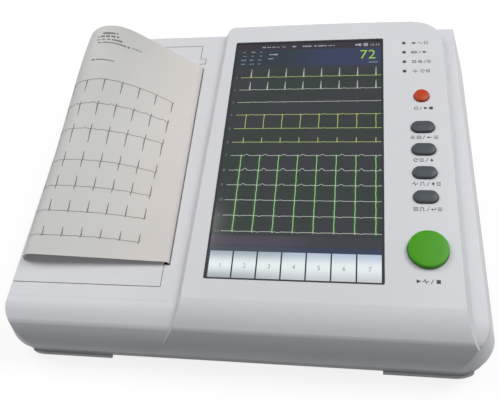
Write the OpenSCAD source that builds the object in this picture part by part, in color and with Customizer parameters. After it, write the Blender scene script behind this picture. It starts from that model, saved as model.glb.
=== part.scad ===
// Portable twelve-lead ECG machine: a flat console with a tall screen and a key column, and a side printer
// whose thermal paper leaves a slot beside the screen and arches over the printer door.
// Millimetres, +X to the right, +Y to the rear, +Z up. The origin is the centre of the base, on the table.

/* [Housing] */
// Half width of the base at the front, at the widest height
half_w = 201.2; // [198:0.1:215]
// Inward lean of the side walls, in degrees
side_draft = 16; // [10:0.5:20]
// How much each side wall closes in towards the rear, in degrees
side_flare = 0.8; // [0:0.01:1.2]
// Rise of the top faces towards the rear, in degrees
top_tilt = 3.5; // [2:0.1:5]
// Front of the rolled nose, from the base centre
front_y = -159.5; // [-175:0.5:-157]
// Rear wall of the housing, from the base centre
rear_y = 157.5; // [157:0.5:170]
// Height of the seam between the upper and the lower casing
seam_z = 18; // [16:0.5:20]
// Height of the axis that the rolled nose turns about
nose_z = 20.5; // [19:0.5:24]
// Height of the console's top face above the base centre
console_z = 69.4; // [66:0.2:76]
// Step down from the console to the printer deck and the right shelf
deck_drop = 8; // [6:0.5:10]
// Front edge of the deck's flat top, where its nose begins
deck_front = -132; // [-136:0.5:-129]
// Depth of the deck nose from that edge to its crease
crease_run = 16.3; // [15.8:0.1:16.8]
// Fall of the deck nose from that edge to its crease
crease_fall = 4.7; // [4.4:0.1:5]
// Radius of the gentle roll above the crease
brow_r = 46; // [44:1:50]
// Radius along the crease
crease_r = 12; // [8:1:14]
// Radius of the front corners, whose axes lean with the side walls
front_corner_r = 29; // [20:1:34]
// Radius of the rear plan corners
rear_corner_r = 12; // [6:1:20]
// Wall of both casings
wall = 3; // [2.4:0.1:3.4]
// Recess of the lower casing behind the upper one
lower_inset = 1.5; // [0.5:0.1:2.5]
// Height of the floor's underside above the table
floor_z = 6; // [5.5:0.1:6.5]

/* [Console] */
// Left edge of the console's top face at its front
console_left = -40.5; // [-43:0.5:-37]
// Right edge of the console's top face at its front
console_right = 176; // [172:0.5:180]
// Turn of the left edge towards the screen, in degrees
left_turn = 1.33; // [0.8:0.01:1.5]
// Turn of the right edge towards the screen, in degrees
right_turn = 0.92; // [0.4:0.01:1.4]
// Lean of the console's left and right flanks, in degrees
flank_lean = 32; // [15:1:40]
// Front edge of the console's top face
console_front = -127; // [-132:0.5:-124]
// Radius of the bowed rear edge
rear_bow_r = 4000; // [2000:100:8000]
// Rearmost point of the bowed rear edge
rear_bow_y = 161.5; // [159:0.1:165]
// Place of that point across the housing
rear_bow_x = 60; // [50:1:80]
// Radius of the rear right plan corner of the console
console_corner_r = 25; // [15:1:30]
// Radius of the rear left plan corner of the console
console_left_r = 6; // [3:1:10]

/* [Screen] */
// Width of the screen opening
screen_w = 142; // [134:0.5:150]
// Length of the screen opening
screen_l = 251; // [240:0.5:254]
// Centre of the screen across the housing
screen_x = 46.5; // [44:0.5:50]
// Centre of the screen along the housing
screen_y = 15; // [12:0.5:18]
// Depth of the cover glass below the console's top face
glass_sink = 1.0; // [0.6:0.1:1.5]
// Thickness of the cover glass
glass_t = 1.8; // [1:0.1:2.5]
// Thickness of the display module
module_t = 6.5; // [5:0.5:8]
// Overlap of the display behind the edge of its opening
screen_lap = 4; // [2:0.5:5]
// Width of the black gasket round the glass
gasket_w = 1.6; // [1.5:0.1:3]

/* [Keys] */
// Centre line of the key column
key_x = 150.5; // [149:0.5:152]
// Diameter of the on/off key
power_d = 13; // [11:0.5:15]
// Place of the on/off key along the housing
power_y = 70; // [66:0.5:74]
// Length of a grey key
grey_l = 19.6; // [17:0.2:21]
// Width of a grey key
grey_w = 11.5; // [10:0.1:12.5]
// Place of the first grey key along the housing
grey_y = 36; // [34:0.5:40]
// Pitch of the grey keys
grey_pitch = 23.1; // [21:0.1:24]
// Diameter of the green start key
start_d = 31; // [27:0.5:33]
// Place of the start key along the housing
start_y = -80.5; // [-83:0.5:-78]
// Height of the grey keys above the console
key_h = 2.6; // [2:0.1:3.5]
// Height of the start key above the console
start_h = 4.6; // [3:0.1:6]
// Gap round each key in its hole
key_gap = 0.35; // [0.25:0.05:0.6]
// Travel of each key
key_travel = 0.8; // [0.5:0.1:1.2]
// Width of the flange that holds each key in
key_flange = 1.6; // [1.2:0.1:2]
// Diameter of a status light
led_d = 3; // [2:0.5:4]
// Place of the row of status lights across the housing
led_x = 136.5; // [135:0.5:138]
// Place of the rearmost status light along the housing
led_y = 133.4; // [130:0.2:135]
// Pitch of the status lights
led_pitch = 11.4; // [10:0.1:12]

/* [Printer] */
// Width of the chart paper
paper_w = 210; // [200:1:212]
// Thickness of the chart paper's solid
paper_t = 0.3; // [0.2:0.05:0.5]
// Length of the sheet from the print line to its free end
sheet_l = 153.5; // [120:0.5:154]
// Place of the paper's centre along the housing
paper_y = 10; // [8:0.5:12]
// Right edge of the printer door
door_edge_x = -61.5; // [-63:0.5:-60]
// Width of the paper slot beside the door
slot_w = 5; // [4:0.5:6]
// Front edge of the printer door
door_front = -115; // [-118:0.5:-113]
// Rear edge of the printer door
door_rear = 145; // [140:0.5:147]
// Thickness of the printer door
door_t = 2.6; // [2:0.1:3.2]
// Gap round the printer door
door_gap = 0.5; // [0.4:0.05:0.8]
// Height of the door hinge above the table
hinge_z = 34; // [33:0.5:36]
// Radius of the hinge knuckles
knuckle_r = 3; // [2.8:0.1:3.4]
// Radius of the hinge pins
hinge_pin_r = 1.5; // [1.2:0.1:1.8]
// Radial running clearance of every pin, shaft and journal
run_gap = 0.04; // [0.03:0.01:0.08]
// Radius of the platen roller
platen_r = 7.4; // [6.5:0.1:7.6]
// Radius of the platen shaft
shaft_r = 3; // [2.5:0.1:3.5]
// Depth of the platen axis below the printer deck
platen_drop = 13.6; // [13.2:0.1:14.5]
// Gap between the platen and the print head, filled by the paper
nip = 0.9; // [0.7:0.05:1.1]
// Radius of the paper roll
roll_r = 19; // [15:0.5:19.5]
// Outer radius of the roll's cardboard core
core_r = 8.5; // [8:0.1:10]
// Wall of the cardboard core
core_wall = 1.5; // [1:0.1:2]
// Radius of the spindle's journals
journal_r = 4; // [3:0.1:4.5]
// Place of the paper roll across the housing
roll_x = -130; // [-134:0.5:-126]

/* [Gear train] */
// Module of the feed gears
gear_m = 0.8; // [0.8:0.05:0.85]
// Teeth on the platen gear
platen_teeth = 24; // [22:1:24]
// Teeth on the idler gear
idler_teeth = 20; // [18:1:20]
// Teeth on the motor pinion
pinion_teeth = 12; // [12:1:13]
// Width of the feed gears
gear_w = 5; // [4:0.5:6]
// Opening of each gear pair beyond its pitch distance
mesh_gap = 0.12; // [0.08:0.01:0.2]
// Radius of the idler's axle pin
axle_r = 2; // [1.5:0.1:2.5]
// Radius of the feed motor's can
motor_r = 12; // [10:0.5:12.5]
// Length of the feed motor's can
motor_l = 22; // [16:1:26]

/* [Rear panel] */
// Width of the connector panel
panel_w = 176; // [172:1:184]
// Height of the connector panel
panel_h = 32; // [30:0.5:34]
// Height of the connector panel's centre above the table
panel_z = 41; // [40:0.5:42]
// Centre of the connector panel across the housing
panel_x = 66; // [62:1:70]
// Radius of the equipotential stud
stud_r = 3; // [2.5:0.1:3.5]
// Free length of the equipotential stud
stud_l = 9; // [7:0.5:11]
// Depth of the rear panel's inner face inside the rear wall
panel_recess = 10; // [8:0.5:12]

/* [Hidden] */
$fn = 64;

// Far enough to cut through anything, and taller than the housing
reach = 900;
tall = 200;
// Small overlap that makes cuts clean
bite = 0.01;
// Reference point of the side walls: the widest height, near the front
side_y = -120;
side_z = 22;
// Clearance between parts that seat on each other
seat = 0.2;

deck_z = console_z - deck_drop;
// Each nose rolls from its top edge to a crease, and from there to the front line: [y, z]
deck_edge = [deck_front, deck_z + deck_front * tan(top_tilt)];
deck_crease = deck_edge - [crease_run, crease_fall];
console_edge = [console_front, console_z + console_front * tan(top_tilt)];
console_crease = console_edge - [crease_run + 6.7, crease_fall + 4.9];

// Height of the console's top face and of the deck, at y
function console_at(y) = console_z + y * tan(top_tilt);
function deck_at(y) = deck_z + y * tan(top_tilt);
// Outer face of a side wall at y and z
function side_at(y, z) = half_w - (y - side_y) * tan(side_flare) - (z - side_z) * tan(side_draft);
// Bowed rear edge of the console at x
function bow_at(x) = rear_bow_y - (x - rear_bow_x) * (x - rear_bow_x) / (2 * rear_bow_r);
// Centre of the circle of radius r through a and b, below and behind them: [y, z]
function arc_centre(a, b, r) = let (d = b - a, l = norm(d))
    (a + b) / 2 + sqrt(r * r - l * l / 4) * [-d[1], d[0]] / l;
// Radius of the circle through p that is upright at the front line
function face_r(p) = let (d = p - [front_y, nose_z]) (d * d) / (2 * d[0]);
// The front crossing point of two circles round a and b
function crossing(a, ra, b, rb) = let (d = b - a, l = norm(d), x = (l * l + ra * ra - rb * rb) / (2 * l))
    a + d / l * x - sqrt(ra * ra - x * x) * [-d[1], d[0]] / l;
// Reverse of a list
function backwards(list) = [for (i = [len(list) - 1 : -1 : 0]) list[i]];

// ---------------------------------------------------------------- frames

// On the console's top face, z along its normal
module on_console(x, y) {
    translate([x, y, console_at(y)]) rotate([top_tilt, 0, 0]) children();
}

// The printer's own frame: on the deck, at the middle of the paper
module in_printer() {
    translate([0, paper_y, deck_at(paper_y)]) rotate([top_tilt, 0, 0]) children();
}

// A solid that runs along X with the given outline in Y and Z
module along_x(outline) {
    rotate([90, 0, 90]) linear_extrude(reach, center = true) polygon(outline);
}

// A cylinder along Y from y = 0 towards +Y
module rod_y(r, l) {
    rotate([-90, 0, 0]) cylinder(r = r, h = l);
}

// A ring along Y
module tube_y(r, bore, l) {
    difference() {
        rod_y(r, l);
        translate([0, -1, 0]) rod_y(bore, l + 2);
    }
}

// Everything on the inner side of a leaning wall
module inside_wall(turn, lean, inset) {
    rotate([0, 0, turn]) rotate([0, -lean, 0])
        translate([-inset - reach, -reach / 2, -reach / 2]) cube(reach);
}

// What lies outside a rounded plan corner; sx and sy give the corner's sign
module corner_waste(x, y, r, sx, sy) {
    translate([x - sx * r, y - sy * r, -1]) difference() {
        translate([sx > 0 ? 0 : -r - 20, sy > 0 ? 0 : -r - 20, 0]) cube([r + 20, r + 20, tall]);
        translate([0, 0, -1]) cylinder(r = r, h = tall + 2);
    }
}

// ---------------------------------------------------------------- housing form

// Both side walls, set in by inset: upright up to their widest height and leaning above it
module between_sides(inset) {
    intersection() {
        translate([half_w, side_y, side_z]) inside_wall(side_flare, side_draft, inset);
        mirror([1, 0, 0]) translate([half_w, side_y, side_z])
            inside_wall(side_flare, side_draft, inset);
        translate([half_w, side_y, side_z]) inside_wall(side_flare, 0, inset);
        mirror([1, 0, 0]) translate([half_w, side_y, side_z]) inside_wall(side_flare, 0, inset);
    }
}

// What lies above and in front of a cylinder along X whose axis is at c
module outside_roll(c, r) {
    difference() {
        along_x([[front_y - 10, c[1]], [front_y - 10, tall], [c[0], tall], [c[0], c[1]]]);
        translate([-reach / 2 - 1, c[0], c[1]]) rotate([0, 90, 0]) cylinder(r = r, h = reach + 2);
    }
}

// What lies outside a nose: a gentle roll from its edge to its crease, a steeper one from there
// to the front line, and a small radius along the crease. Everything is set in by inset.
module nose_waste(edge, crease, inset) {
    a = arc_centre(edge, crease, brow_r);
    rb = face_r(crease);
    b = [front_y + rb, nose_z];
    c = crossing(b, rb - crease_r, a, brow_r - crease_r);
    na = (c - a) / norm(c - a);
    nb = (c - b) / norm(c - b);
    outside_roll(a, brow_r - inset);
    outside_roll(b, rb - inset);
    difference() {
        along_x([c, c + 20 * na, c + 15 * (na + nb), c + 20 * nb]);
        translate([-reach / 2 - 1, c[0], c[1]]) rotate([0, 90, 0])
            cylinder(r = crease_r + 0.04 - inset, h = reach + 2);
    }
}

// Low body: deck, shelf and rolled nose, set in by inset, from height low
module deck_form(inset, low) {
    drop = inset / cos(top_tilt);
    difference() {
        along_x([[front_y + inset, low], [front_y + inset, deck_at(front_y + inset) - drop],
            [rear_y - inset, deck_at(rear_y - inset) - drop], [rear_y - inset, low]]);
        nose_waste(deck_edge, deck_crease, inset);
    }
}

// Raised console with its brow and bowed rear edge, set in by inset, from height low
module console_form(inset, low) {
    drop = inset / cos(top_tilt);
    right_rear = console_right - (rear_bow_y - console_front) * tan(right_turn);
    left_rear = console_left + (rear_bow_y - console_front) * tan(left_turn);
    difference() {
        intersection() {
            along_x([[front_y + inset, low], [front_y + inset, console_at(front_y + inset) - drop],
                [rear_bow_y, console_at(rear_bow_y) - drop], [rear_bow_y, low]]);
            on_console(console_right, console_front) inside_wall(right_turn, flank_lean, inset);
            on_console(console_left, console_front) mirror([1, 0, 0])
                inside_wall(left_turn, flank_lean, inset);
            translate([rear_bow_x, rear_bow_y - rear_bow_r, -1])
                cylinder(r = rear_bow_r - inset, h = tall, $fn = 360);
        }
        nose_waste(console_edge, console_crease, inset);
        corner_waste(right_rear - inset, bow_at(right_rear) - inset, console_corner_r - inset, 1, 1);
        corner_waste(left_rear + inset, bow_at(left_rear) - inset, console_left_r - inset / 2, -1, 1);
    }
}

// What lies outside the right front corner: upright up to the widest height and leaning above it
module front_corner_waste(inset) {
    r = front_corner_r - inset;
    translate([side_at(front_y, side_z), front_y, side_z]) for (lean = [0, side_draft])
        rotate([0, -lean, 0]) translate([-inset - r, inset + r, lean > 0 ? -1 : -60]) difference() {
            translate([0, -r - 20, 0]) cube([r + 20, r + 20, lean > 0 ? 120 : 60]);
            translate([0, 0, -1]) cylinder(r = r, h = 130);
        }
}

// The whole housing, set in by inset, from height low
module body_form(inset, low) {
    difference() {
        intersection() {
            union() {
                deck_form(inset, low);
                console_form(inset, max(low, nose_z));
            }
            between_sides(inset);
        }
        front_corner_waste(inset);
        mirror([1, 0, 0]) front_corner_waste(inset);
        for (s = [-1, 1]) corner_waste(s * (side_at(rear_y, side_z) - inset), rear_y - inset,
            rear_corner_r - inset, s, 1);
    }
}

// ---------------------------------------------------------------- printer frame values

cos_t = cos(top_tilt);
// Ends of the door and the paper along the printer's own frame
door_v0 = (door_front - paper_y) / cos_t;
door_v1 = (door_rear - paper_y) / cos_t;
paper_v = paper_w / 2;
slot_x = door_edge_x + slot_w / 2;
platen_x = slot_x - nip / 2 - platen_r;
head_x = slot_x + nip / 2;
head_t = 1.2;
head_top = -7;
head_bottom = -20;
sink_t = 5;
spring_r = 2.1;
spring_l = 14;
spring_pitch = 0.6 * paper_v;
bracket_x = head_x + head_t + sink_t + 2 * spring_r;
bracket_t = 1.5;
bracket_flange = 4;
tear_t = 0.5;
tear_foot = 2;
roll_w = -door_t - 2.4 - roll_r;
tray_gap = 1.2;
tray_t = 2;
tray_end = 4;
tray_half = 50;
tray_v = paper_v + 3;
tray_rim = -12;
tray_floor = roll_w - roll_r - tray_gap;
bush_r = 5;
bush_v = paper_v + 2;
bush_l = 4;
plate_v = paper_v + 5.5;
plate_t = 1.5;
gear_v = plate_v + plate_t + 0.5;
gear_room = 0.6;
gear_edge = platen_x + pitch_r(platen_teeth) + gear_m + gear_room;
floor_top = floor_z + wall;

// Gear places in the printer's frame, by pitch distances and the angle of each step
function pitch_r(teeth) = gear_m * teeth / 2;
idler_angle = -60;
pinion_angle = -58;
idler_c = pitch_r(platen_teeth) + pitch_r(idler_teeth) + mesh_gap;
pinion_c = pitch_r(idler_teeth) + pitch_r(pinion_teeth) + mesh_gap;
idler_x = platen_x + idler_c * cos(idler_angle);
idler_w = -platen_drop + idler_c * sin(idler_angle);
motor_x = idler_x + pinion_c * cos(pinion_angle);
motor_w = idler_w + pinion_c * sin(pinion_angle);

// ---------------------------------------------------------------- hinge values

// The hinge line lies just outside the side wall and runs along it
hinge_out = 0.5;
knuckle_gap = 0.4;
knuckle_mid = 7;
knuckle_end = 20;
hinge_runs = [45, 225];

module on_hinge_line() {
    translate([-side_at(side_y, hinge_z) - hinge_out, side_y, hinge_z])
        rotate([0, 0, -side_flare]) children();
}

module casing_knuckles(r, grow) {
    on_hinge_line() for (s = hinge_runs)
        translate([0, s - knuckle_mid - grow, 0]) rod_y(r, 2 * (knuckle_mid + grow));
}

module door_knuckles(r, grow) {
    on_hinge_line() for (s = hinge_runs) {
        translate([0, s - knuckle_end - grow, 0])
            rod_y(r, knuckle_end - knuckle_mid - knuckle_gap + 2 * grow);
        translate([0, s + knuckle_mid + knuckle_gap - grow, 0])
            rod_y(r, knuckle_end - knuckle_mid - knuckle_gap + 2 * grow);
    }
}

module hinge_bores(r) {
    on_hinge_line() for (s = hinge_runs)
        translate([0, s - knuckle_end - 2, 0]) rod_y(r, 2 * knuckle_end + 4);
}

// The space of the door: above the hinge line and inside its outline, grown by grow.
// A short tab on its free edge covers the notch that the platen's gear swings through.
module door_zone(grow) {
    intersection() {
        in_printer() {
            translate([-reach, door_v0 - grow, -100])
                cube([reach + door_edge_x + grow, door_v1 - door_v0 + 2 * grow, 200]);
            translate([door_edge_x - 1, gear_v - gear_room - grow, -wall])
                cube([gear_edge - door_edge_x + 1 + grow, gear_w + 2 * (gear_room + grow), wall + 5]);
        }
        translate([-reach, -reach / 2, hinge_z + 0.3 - grow])
            cube([2 * reach, reach, 200]);
    }
}

// ---------------------------------------------------------------- small shared shapes

// A pill-shaped or round plan, centred, from z = 0 upwards
module pill(l, w, h) {
    run = (l - w) / 2;
    translate([-run, 0, 0]) cylinder(r = w / 2, h = h);
    translate([run, 0, 0]) cylinder(r = w / 2, h = h);
    if (run > 0) translate([-run, -w / 2, 0]) cube([2 * run, w, h]);
}

// A block with rounded vertical edges, centred in x and y
module slab(x, y, h, r) {
    for (sx = [-1, 1], sy = [-1, 1])
        translate([sx * (x / 2 - r), sy * (y / 2 - r), 0]) cylinder(r = r, h = h);
    translate([-x / 2 + r, -y / 2, 0]) cube([x - 2 * r, y, h]);
    translate([-x / 2, -y / 2 + r, 0]) cube([x, y - 2 * r, h]);
}

// Centres of the keys: [x, y, length, width, height]
keys = concat([[key_x, power_y, power_d, power_d, key_h]],
    [for (i = [0 : 3]) [key_x, grey_y - i * grey_pitch, grey_l, grey_w, key_h]],
    [[key_x, start_y, start_d, start_d, start_h]]);
leds = [for (i = [0 : 3]) [led_x, led_y - i * led_pitch]];

key_rest = 0.3;
flange_t = 1.2;
stem_l = 2.5;
stem_bottom = wall + key_rest + flange_t + stem_l;
switch_h = 3.5;
plunger_h = 1;
board_top = stem_bottom + key_travel + key_rest + plunger_h + switch_h;
board_t = 1.6;
board_y0 = start_y - 22;
board_y1 = led_y + 5;
board_edge = [17.5, min(19, side_at(board_y1, console_z) - wall - 1.5 - key_x)];
board_bosses = [for (y = [led_y - 4 * led_pitch - 3, start_y + 26], sx = [-1, 1])
    [key_x + sx * (board_edge[0] - 3), y]];

module_top = max(wall, glass_sink + glass_t);
bracket_sheet = 1.2;
bracket_lip = 3;

// Screws that close the two casings: places and the height of their seats
screw_xy = [[-150, -128], [60, -140], [172, -118], [-170, 146], [-46, 146], [180, 130]];
screw_r = 1.5;
boss_r = 4;
head_r = 3;
head_h = 2.2;

// Feet pads under the lower casing: [x0, x1, y0, y1]
pad_front = front_y + 0.3;
pad_l = 34;
pads = [[-181, -110, pad_front, pad_front + pad_l], [118, 187, pad_front, pad_front + pad_l],
    [-176, -120, rear_y - lower_inset - pad_l, rear_y - lower_inset],
    [120, 176, rear_y - lower_inset - pad_l, rear_y - lower_inset]];
pad_z = 0.6;
foot_r = 8;
foot_sink = 2;
function pad_mid(p) = [(p[0] + p[1]) / 2, (p[2] + p[3]) / 2];

// Battery bay
pack = [110, 66, 19];
bay_x = 60;
bay_y = -84;
cover_t = 2;
cover_lap = 5;
cover_screw_x = pack[0] / 2 + cover_lap / 2 + 0.8;

// Speaker in the floor
speaker_xy = [-95, -132];
speaker_r = 14;

// Rear panel
plate_y = rear_y - panel_recess;
plate_t2 = 2.5;
panel_lap = 3;
out_y = plate_y + plate_t2;

// ---------------------------------------------------------------- casings

module key_holes() {
    for (k = keys) on_console(k[0], k[1]) translate([0, 0, -20])
        pill(k[2] + 2 * key_gap, k[3] + 2 * key_gap, 40);
    for (p = leds) on_console(p[0], p[1]) translate([0, 0, -20])
        cylinder(r = led_d / 2 + 0.1, h = 40);
}

module panel_pocket() {
    translate([panel_x - panel_w / 2 - seat, plate_y, panel_z - panel_h / 2 - seat])
        cube([panel_w + 2 * seat, 30, panel_h + 2 * seat]);
    translate([panel_x - panel_w / 2 + panel_lap, plate_y - 20, panel_z - panel_h / 2 + panel_lap])
        cube([panel_w - 2 * panel_lap, 40, panel_h - 2 * panel_lap]);
}

// Solid behind the connector pocket, cut to the housing's form
module panel_frame() {
    intersection() {
        body_form(bite, seam_z);
        translate([panel_x - panel_w / 2 - 4, plate_y - wall, panel_z - panel_h / 2 - 3.5])
            cube([panel_w + 8, 30, panel_h + 7]);
    }
}

// End walls of the door well, which the paper tray's rim meets from below
module well_walls() {
    intersection() {
        body_form(bite, seam_z);
        in_printer() for (v = [door_v0 - door_gap - wall, door_v1 + door_gap])
            translate([-190, v, tray_rim]) cube([190 + door_edge_x - 1, wall, -tray_rim]);
    }
}

module upper_casing() {
    color([0.86, 0.87, 0.88]) difference() {
        union() {
            difference() {
                body_form(0, seam_z);
                body_form(wall, seam_z - 1);
            }
            panel_frame();
            well_walls();
            for (p = board_bosses) on_console(p[0], p[1]) translate([0, 0, -board_top])
                cylinder(r = 2.5, h = board_top - wall + 0.5);
            intersection() {
                for (p = screw_xy) translate([p[0], p[1], floor_top + 12])
                    cylinder(r = boss_r, h = 80);
                body_form(wall / 2, floor_top);
            }
        }
        difference() {
            door_zone(door_gap);
            casing_knuckles(knuckle_r, 0);
        }
        door_knuckles(knuckle_r + knuckle_gap, knuckle_gap / 2);
        in_printer() translate([door_edge_x, -paper_v - 1, -20])
            cube([slot_w + tear_t, paper_w + 2, 40]);
        on_console(screen_x, screen_y) translate([0, 0, -20]) slab(screen_w, screen_l, 40, 1.5);
        key_holes();
        panel_pocket();
        hinge_bores(hinge_pin_r);
        for (p = screw_xy) translate([p[0], p[1], floor_top + 11]) cylinder(r = screw_r, h = 12);
    }
    color([0.86, 0.87, 0.88]) difference() {
        casing_knuckles(knuckle_r, 0);
        hinge_bores(hinge_pin_r);
    }
}

module lower_plan(inset, z0, z1) {
    intersection() {
        body_form(inset, z0);
        translate([-reach / 2, -reach / 2, z0]) cube([reach, reach, z1 - z0]);
    }
}

module lower_casing() {
    color([0.62, 0.64, 0.66]) difference() {
        union() {
            difference() {
                lower_plan(lower_inset, floor_z, seam_z);
                translate([0, 0, floor_top]) lower_plan(lower_inset + wall, 0, seam_z);
            }
            for (p = pads) intersection() {
                translate([p[0], p[2], pad_z]) cube([p[1] - p[0], p[3] - p[2], floor_z]);
                lower_plan(0.3, pad_z, seam_z);
            }
            for (p = screw_xy) translate([p[0], p[1], floor_z]) cylinder(r = boss_r, h = wall + 12);
            for (p = board_posts) translate([p[0], p[1], floor_z]) cylinder(r = 3, h = pcb_z - floor_z);
        }
        for (p = screw_xy) translate([p[0], p[1], 0]) {
            translate([0, 0, -1]) cylinder(r = head_r + 0.3, h = floor_z + head_h + 1);
            cylinder(r = screw_r + 0.2, h = 40);
        }
        for (p = pads) translate([pad_mid(p)[0], pad_mid(p)[1], pad_z - 1])
            cylinder(r = foot_r + 0.1, h = foot_sink + 1);
        translate([bay_x, bay_y, 0]) {
            slab(pack[0] + 2, pack[1] + 2, 40, 2);
            slab(pack[0] + 2 * cover_lap + 0.6, pack[1] + 2 * cover_lap + 0.6, floor_z + cover_t, 4);
        }
        for (s = [-1, 1]) translate([bay_x + s * cover_screw_x, bay_y, 0]) cylinder(r = 1.2, h = 40);
        for (a = [0 : 60 : 300], r = [5, 10]) translate([speaker_xy[0], speaker_xy[1], 0])
            rotate([0, 0, a]) translate([r, 0, -1]) cylinder(r = 1.2, h = 20, $fn = 24);
    }
}

// ---------------------------------------------------------------- screen

module display_glass() {
    color([0.12, 0.15, 0.16]) on_console(screen_x, screen_y)
        translate([0, 0, -glass_sink - glass_t])
        slab(screen_w - 2 * gasket_w - 2 * seat, screen_l - 2 * gasket_w - 2 * seat, glass_t, 1);
}

module display_gasket() {
    color([0.1, 0.1, 0.12]) on_console(screen_x, screen_y) translate([0, 0, -module_top])
        difference() {
            slab(screen_w - seat, screen_l - seat, module_top - glass_sink + 0.3, 1.4);
            translate([0, 0, -1])
                slab(screen_w - 2 * gasket_w - seat, screen_l - 2 * gasket_w - seat, 9, 1);
        }
}

module display_module() {
    color([0.3, 0.32, 0.34]) on_console(screen_x, screen_y) {
        translate([0, 0, -module_top - module_t])
            slab(screen_w + 2 * screen_lap, screen_l + 2 * screen_lap, module_t, 2);
        // Driver board on its back
        translate([-screen_w / 2 + 8, -screen_l / 2 + 20, -module_top - module_t - 2])
            cube([24, screen_l - 40, 2]);
    }
}

module display_bracket() {
    x = screen_w + 2 * (screen_lap + bracket_lip);
    y = screen_l + 2 * (screen_lap + bracket_lip) - 4;
    color([0.7, 0.71, 0.73]) on_console(screen_x, screen_y)
        translate([0, 0, -module_top - module_t - 2 - bracket_sheet]) difference() {
            union() {
                slab(x, y, bracket_sheet, 3);
                for (s = [-1, 1]) translate([s * (x - bracket_sheet) / 2 - bracket_sheet / 2,
                    -y / 2 + 10, 0]) cube([bracket_sheet, y - 20, module_t + 2 + bracket_sheet - 0.5]);
            }
            for (v = [-80, 0, 80]) translate([10, v, -1]) slab(70, 50, 6, 4);
        }
}

// ---------------------------------------------------------------- keys

// A key: cap above the console, flange under it and a stem over its switch
module key(k) {
    on_console(k[0], k[1]) {
        translate([0, 0, -wall - key_rest - 0.1]) pill(k[2], k[3], k[4] + wall + key_rest + 0.1 - 0.9);
        translate([0, 0, k[4] - 0.9]) pill(k[2] - 0.9, k[3] - 0.9, 0.5);
        translate([0, 0, k[4] - 0.4]) pill(k[2] - 2.2, k[3] - 2.2, 0.4);
        translate([0, 0, -wall - key_rest - flange_t])
            pill(k[2] + 2 * key_flange, k[3] + 2 * key_flange, flange_t);
        translate([0, 0, -stem_bottom]) cylinder(r = 2, h = stem_l + 0.1);
    }
}

module power_key() { color([0.93, 0.33, 0.16]) key(keys[0]); }
module grey_key_1() { color([0.35, 0.36, 0.37]) key(keys[1]); }
module grey_key_2() { color([0.35, 0.36, 0.37]) key(keys[2]); }
module grey_key_3() { color([0.35, 0.36, 0.37]) key(keys[3]); }
module grey_key_4() { color([0.35, 0.36, 0.37]) key(keys[4]); }
module start_key() { color([0.3, 0.75, 0.2]) key(keys[5]); }

module keypad_board() {
    mid = (board_y0 + board_y1) / 2;
    long = board_y1 - board_y0;
    color([0.1, 0.4, 0.2]) on_console(key_x, mid) difference() {
        translate([-board_edge[0], -long / 2, -board_top - board_t])
            cube([board_edge[0] + board_edge[1], long, board_t]);
        for (p = board_bosses) translate([p[0] - key_x, (p[1] - mid) / cos(top_tilt), -board_top - 3])
            cylinder(r = 1.2, h = 6);
    }
}

module key_switches() {
    color([0.15, 0.15, 0.15]) for (k = keys) on_console(k[0], k[1]) {
        translate([-3, -3, -board_top]) cube([6, 6, switch_h]);
        translate([0, 0, -board_top + switch_h - bite]) cylinder(r = 1.7, h = plunger_h + bite);
    }
}

module led_pipes() {
    color([0.4, 0.8, 0.3]) for (p = leds) on_console(p[0], p[1])
        translate([0, 0, -board_top]) cylinder(r = led_d / 2, h = board_top + 0.3);
}

// ---------------------------------------------------------------- printer door and platen

module printer_door() {
    rib = 5;
    color([0.86, 0.87, 0.88]) difference() {
        union() {
            intersection() {
                difference() {
                    body_form(0, seam_z);
                    body_form(door_t, seam_z - 1);
                }
                door_zone(0);
            }
            door_knuckles(knuckle_r, 0);
            // Stiffening ribs under the plate
            intersection() {
                in_printer() {
                    for (v = [door_v0 + 4, -paper_v / 3, paper_v / 3, door_v1 - 6])
                        translate([-190, v, -rib])
                            cube([190 + platen_x - platen_r - 1.5, 2, rib - door_t + 0.5]);
                    for (v = [-bush_v - bush_l, bush_v]) translate([platen_x, v, -platen_drop]) {
                        rod_y(bush_r + 2, bush_l);
                        translate([-bush_r - 2, 0, 0])
                            cube([2 * bush_r + 4 - 1.5, bush_l, platen_drop - door_t + 0.5]);
                    }
                }
                body_form(1, seam_z);
            }
        }
        casing_knuckles(knuckle_r + knuckle_gap, knuckle_gap / 2);
        hinge_bores(hinge_pin_r + run_gap);
        in_printer() translate([platen_x, -bush_v - bush_l - 1, -platen_drop])
            rod_y(bush_r, 2 * (bush_v + bush_l + 1));
    }
}

module hinge_pins() {
    color([0.75, 0.76, 0.78]) on_hinge_line() for (s = hinge_runs)
        translate([0, s - knuckle_end, 0]) rod_y(hinge_pin_r, 2 * knuckle_end);
}

module platen_bushes() {
    color([0.2, 0.2, 0.2]) in_printer() for (v = [-bush_v - bush_l, bush_v])
        translate([platen_x, v, -platen_drop]) tube_y(bush_r, shaft_r + run_gap, bush_l);
}

module platen_roller() {
    color([0.12, 0.12, 0.13]) in_printer() translate([platen_x, -paper_v - 0.5, -platen_drop])
        tube_y(platen_r, shaft_r, paper_w + 1);
}

module platen_shaft() {
    color([0.78, 0.79, 0.8]) in_printer()
        translate([platen_x, -bush_v - bush_l - 1, -platen_drop])
        rod_y(shaft_r, bush_v + bush_l + 1 + gear_v + gear_w);
}

// ---------------------------------------------------------------- gears

// Angle from the centre line of a tooth to its flank at radius r, for an involute tooth
function roll_angle(base, r) = let (a = acos(min(1, base / r))) tan(a) * 180 / PI - a;
function flank(teeth, r) = let (p = pitch_r(teeth), base = p * cos(20))
    90 / teeth - 0.6 + roll_angle(base, p) - roll_angle(base, max(r, base));

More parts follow.
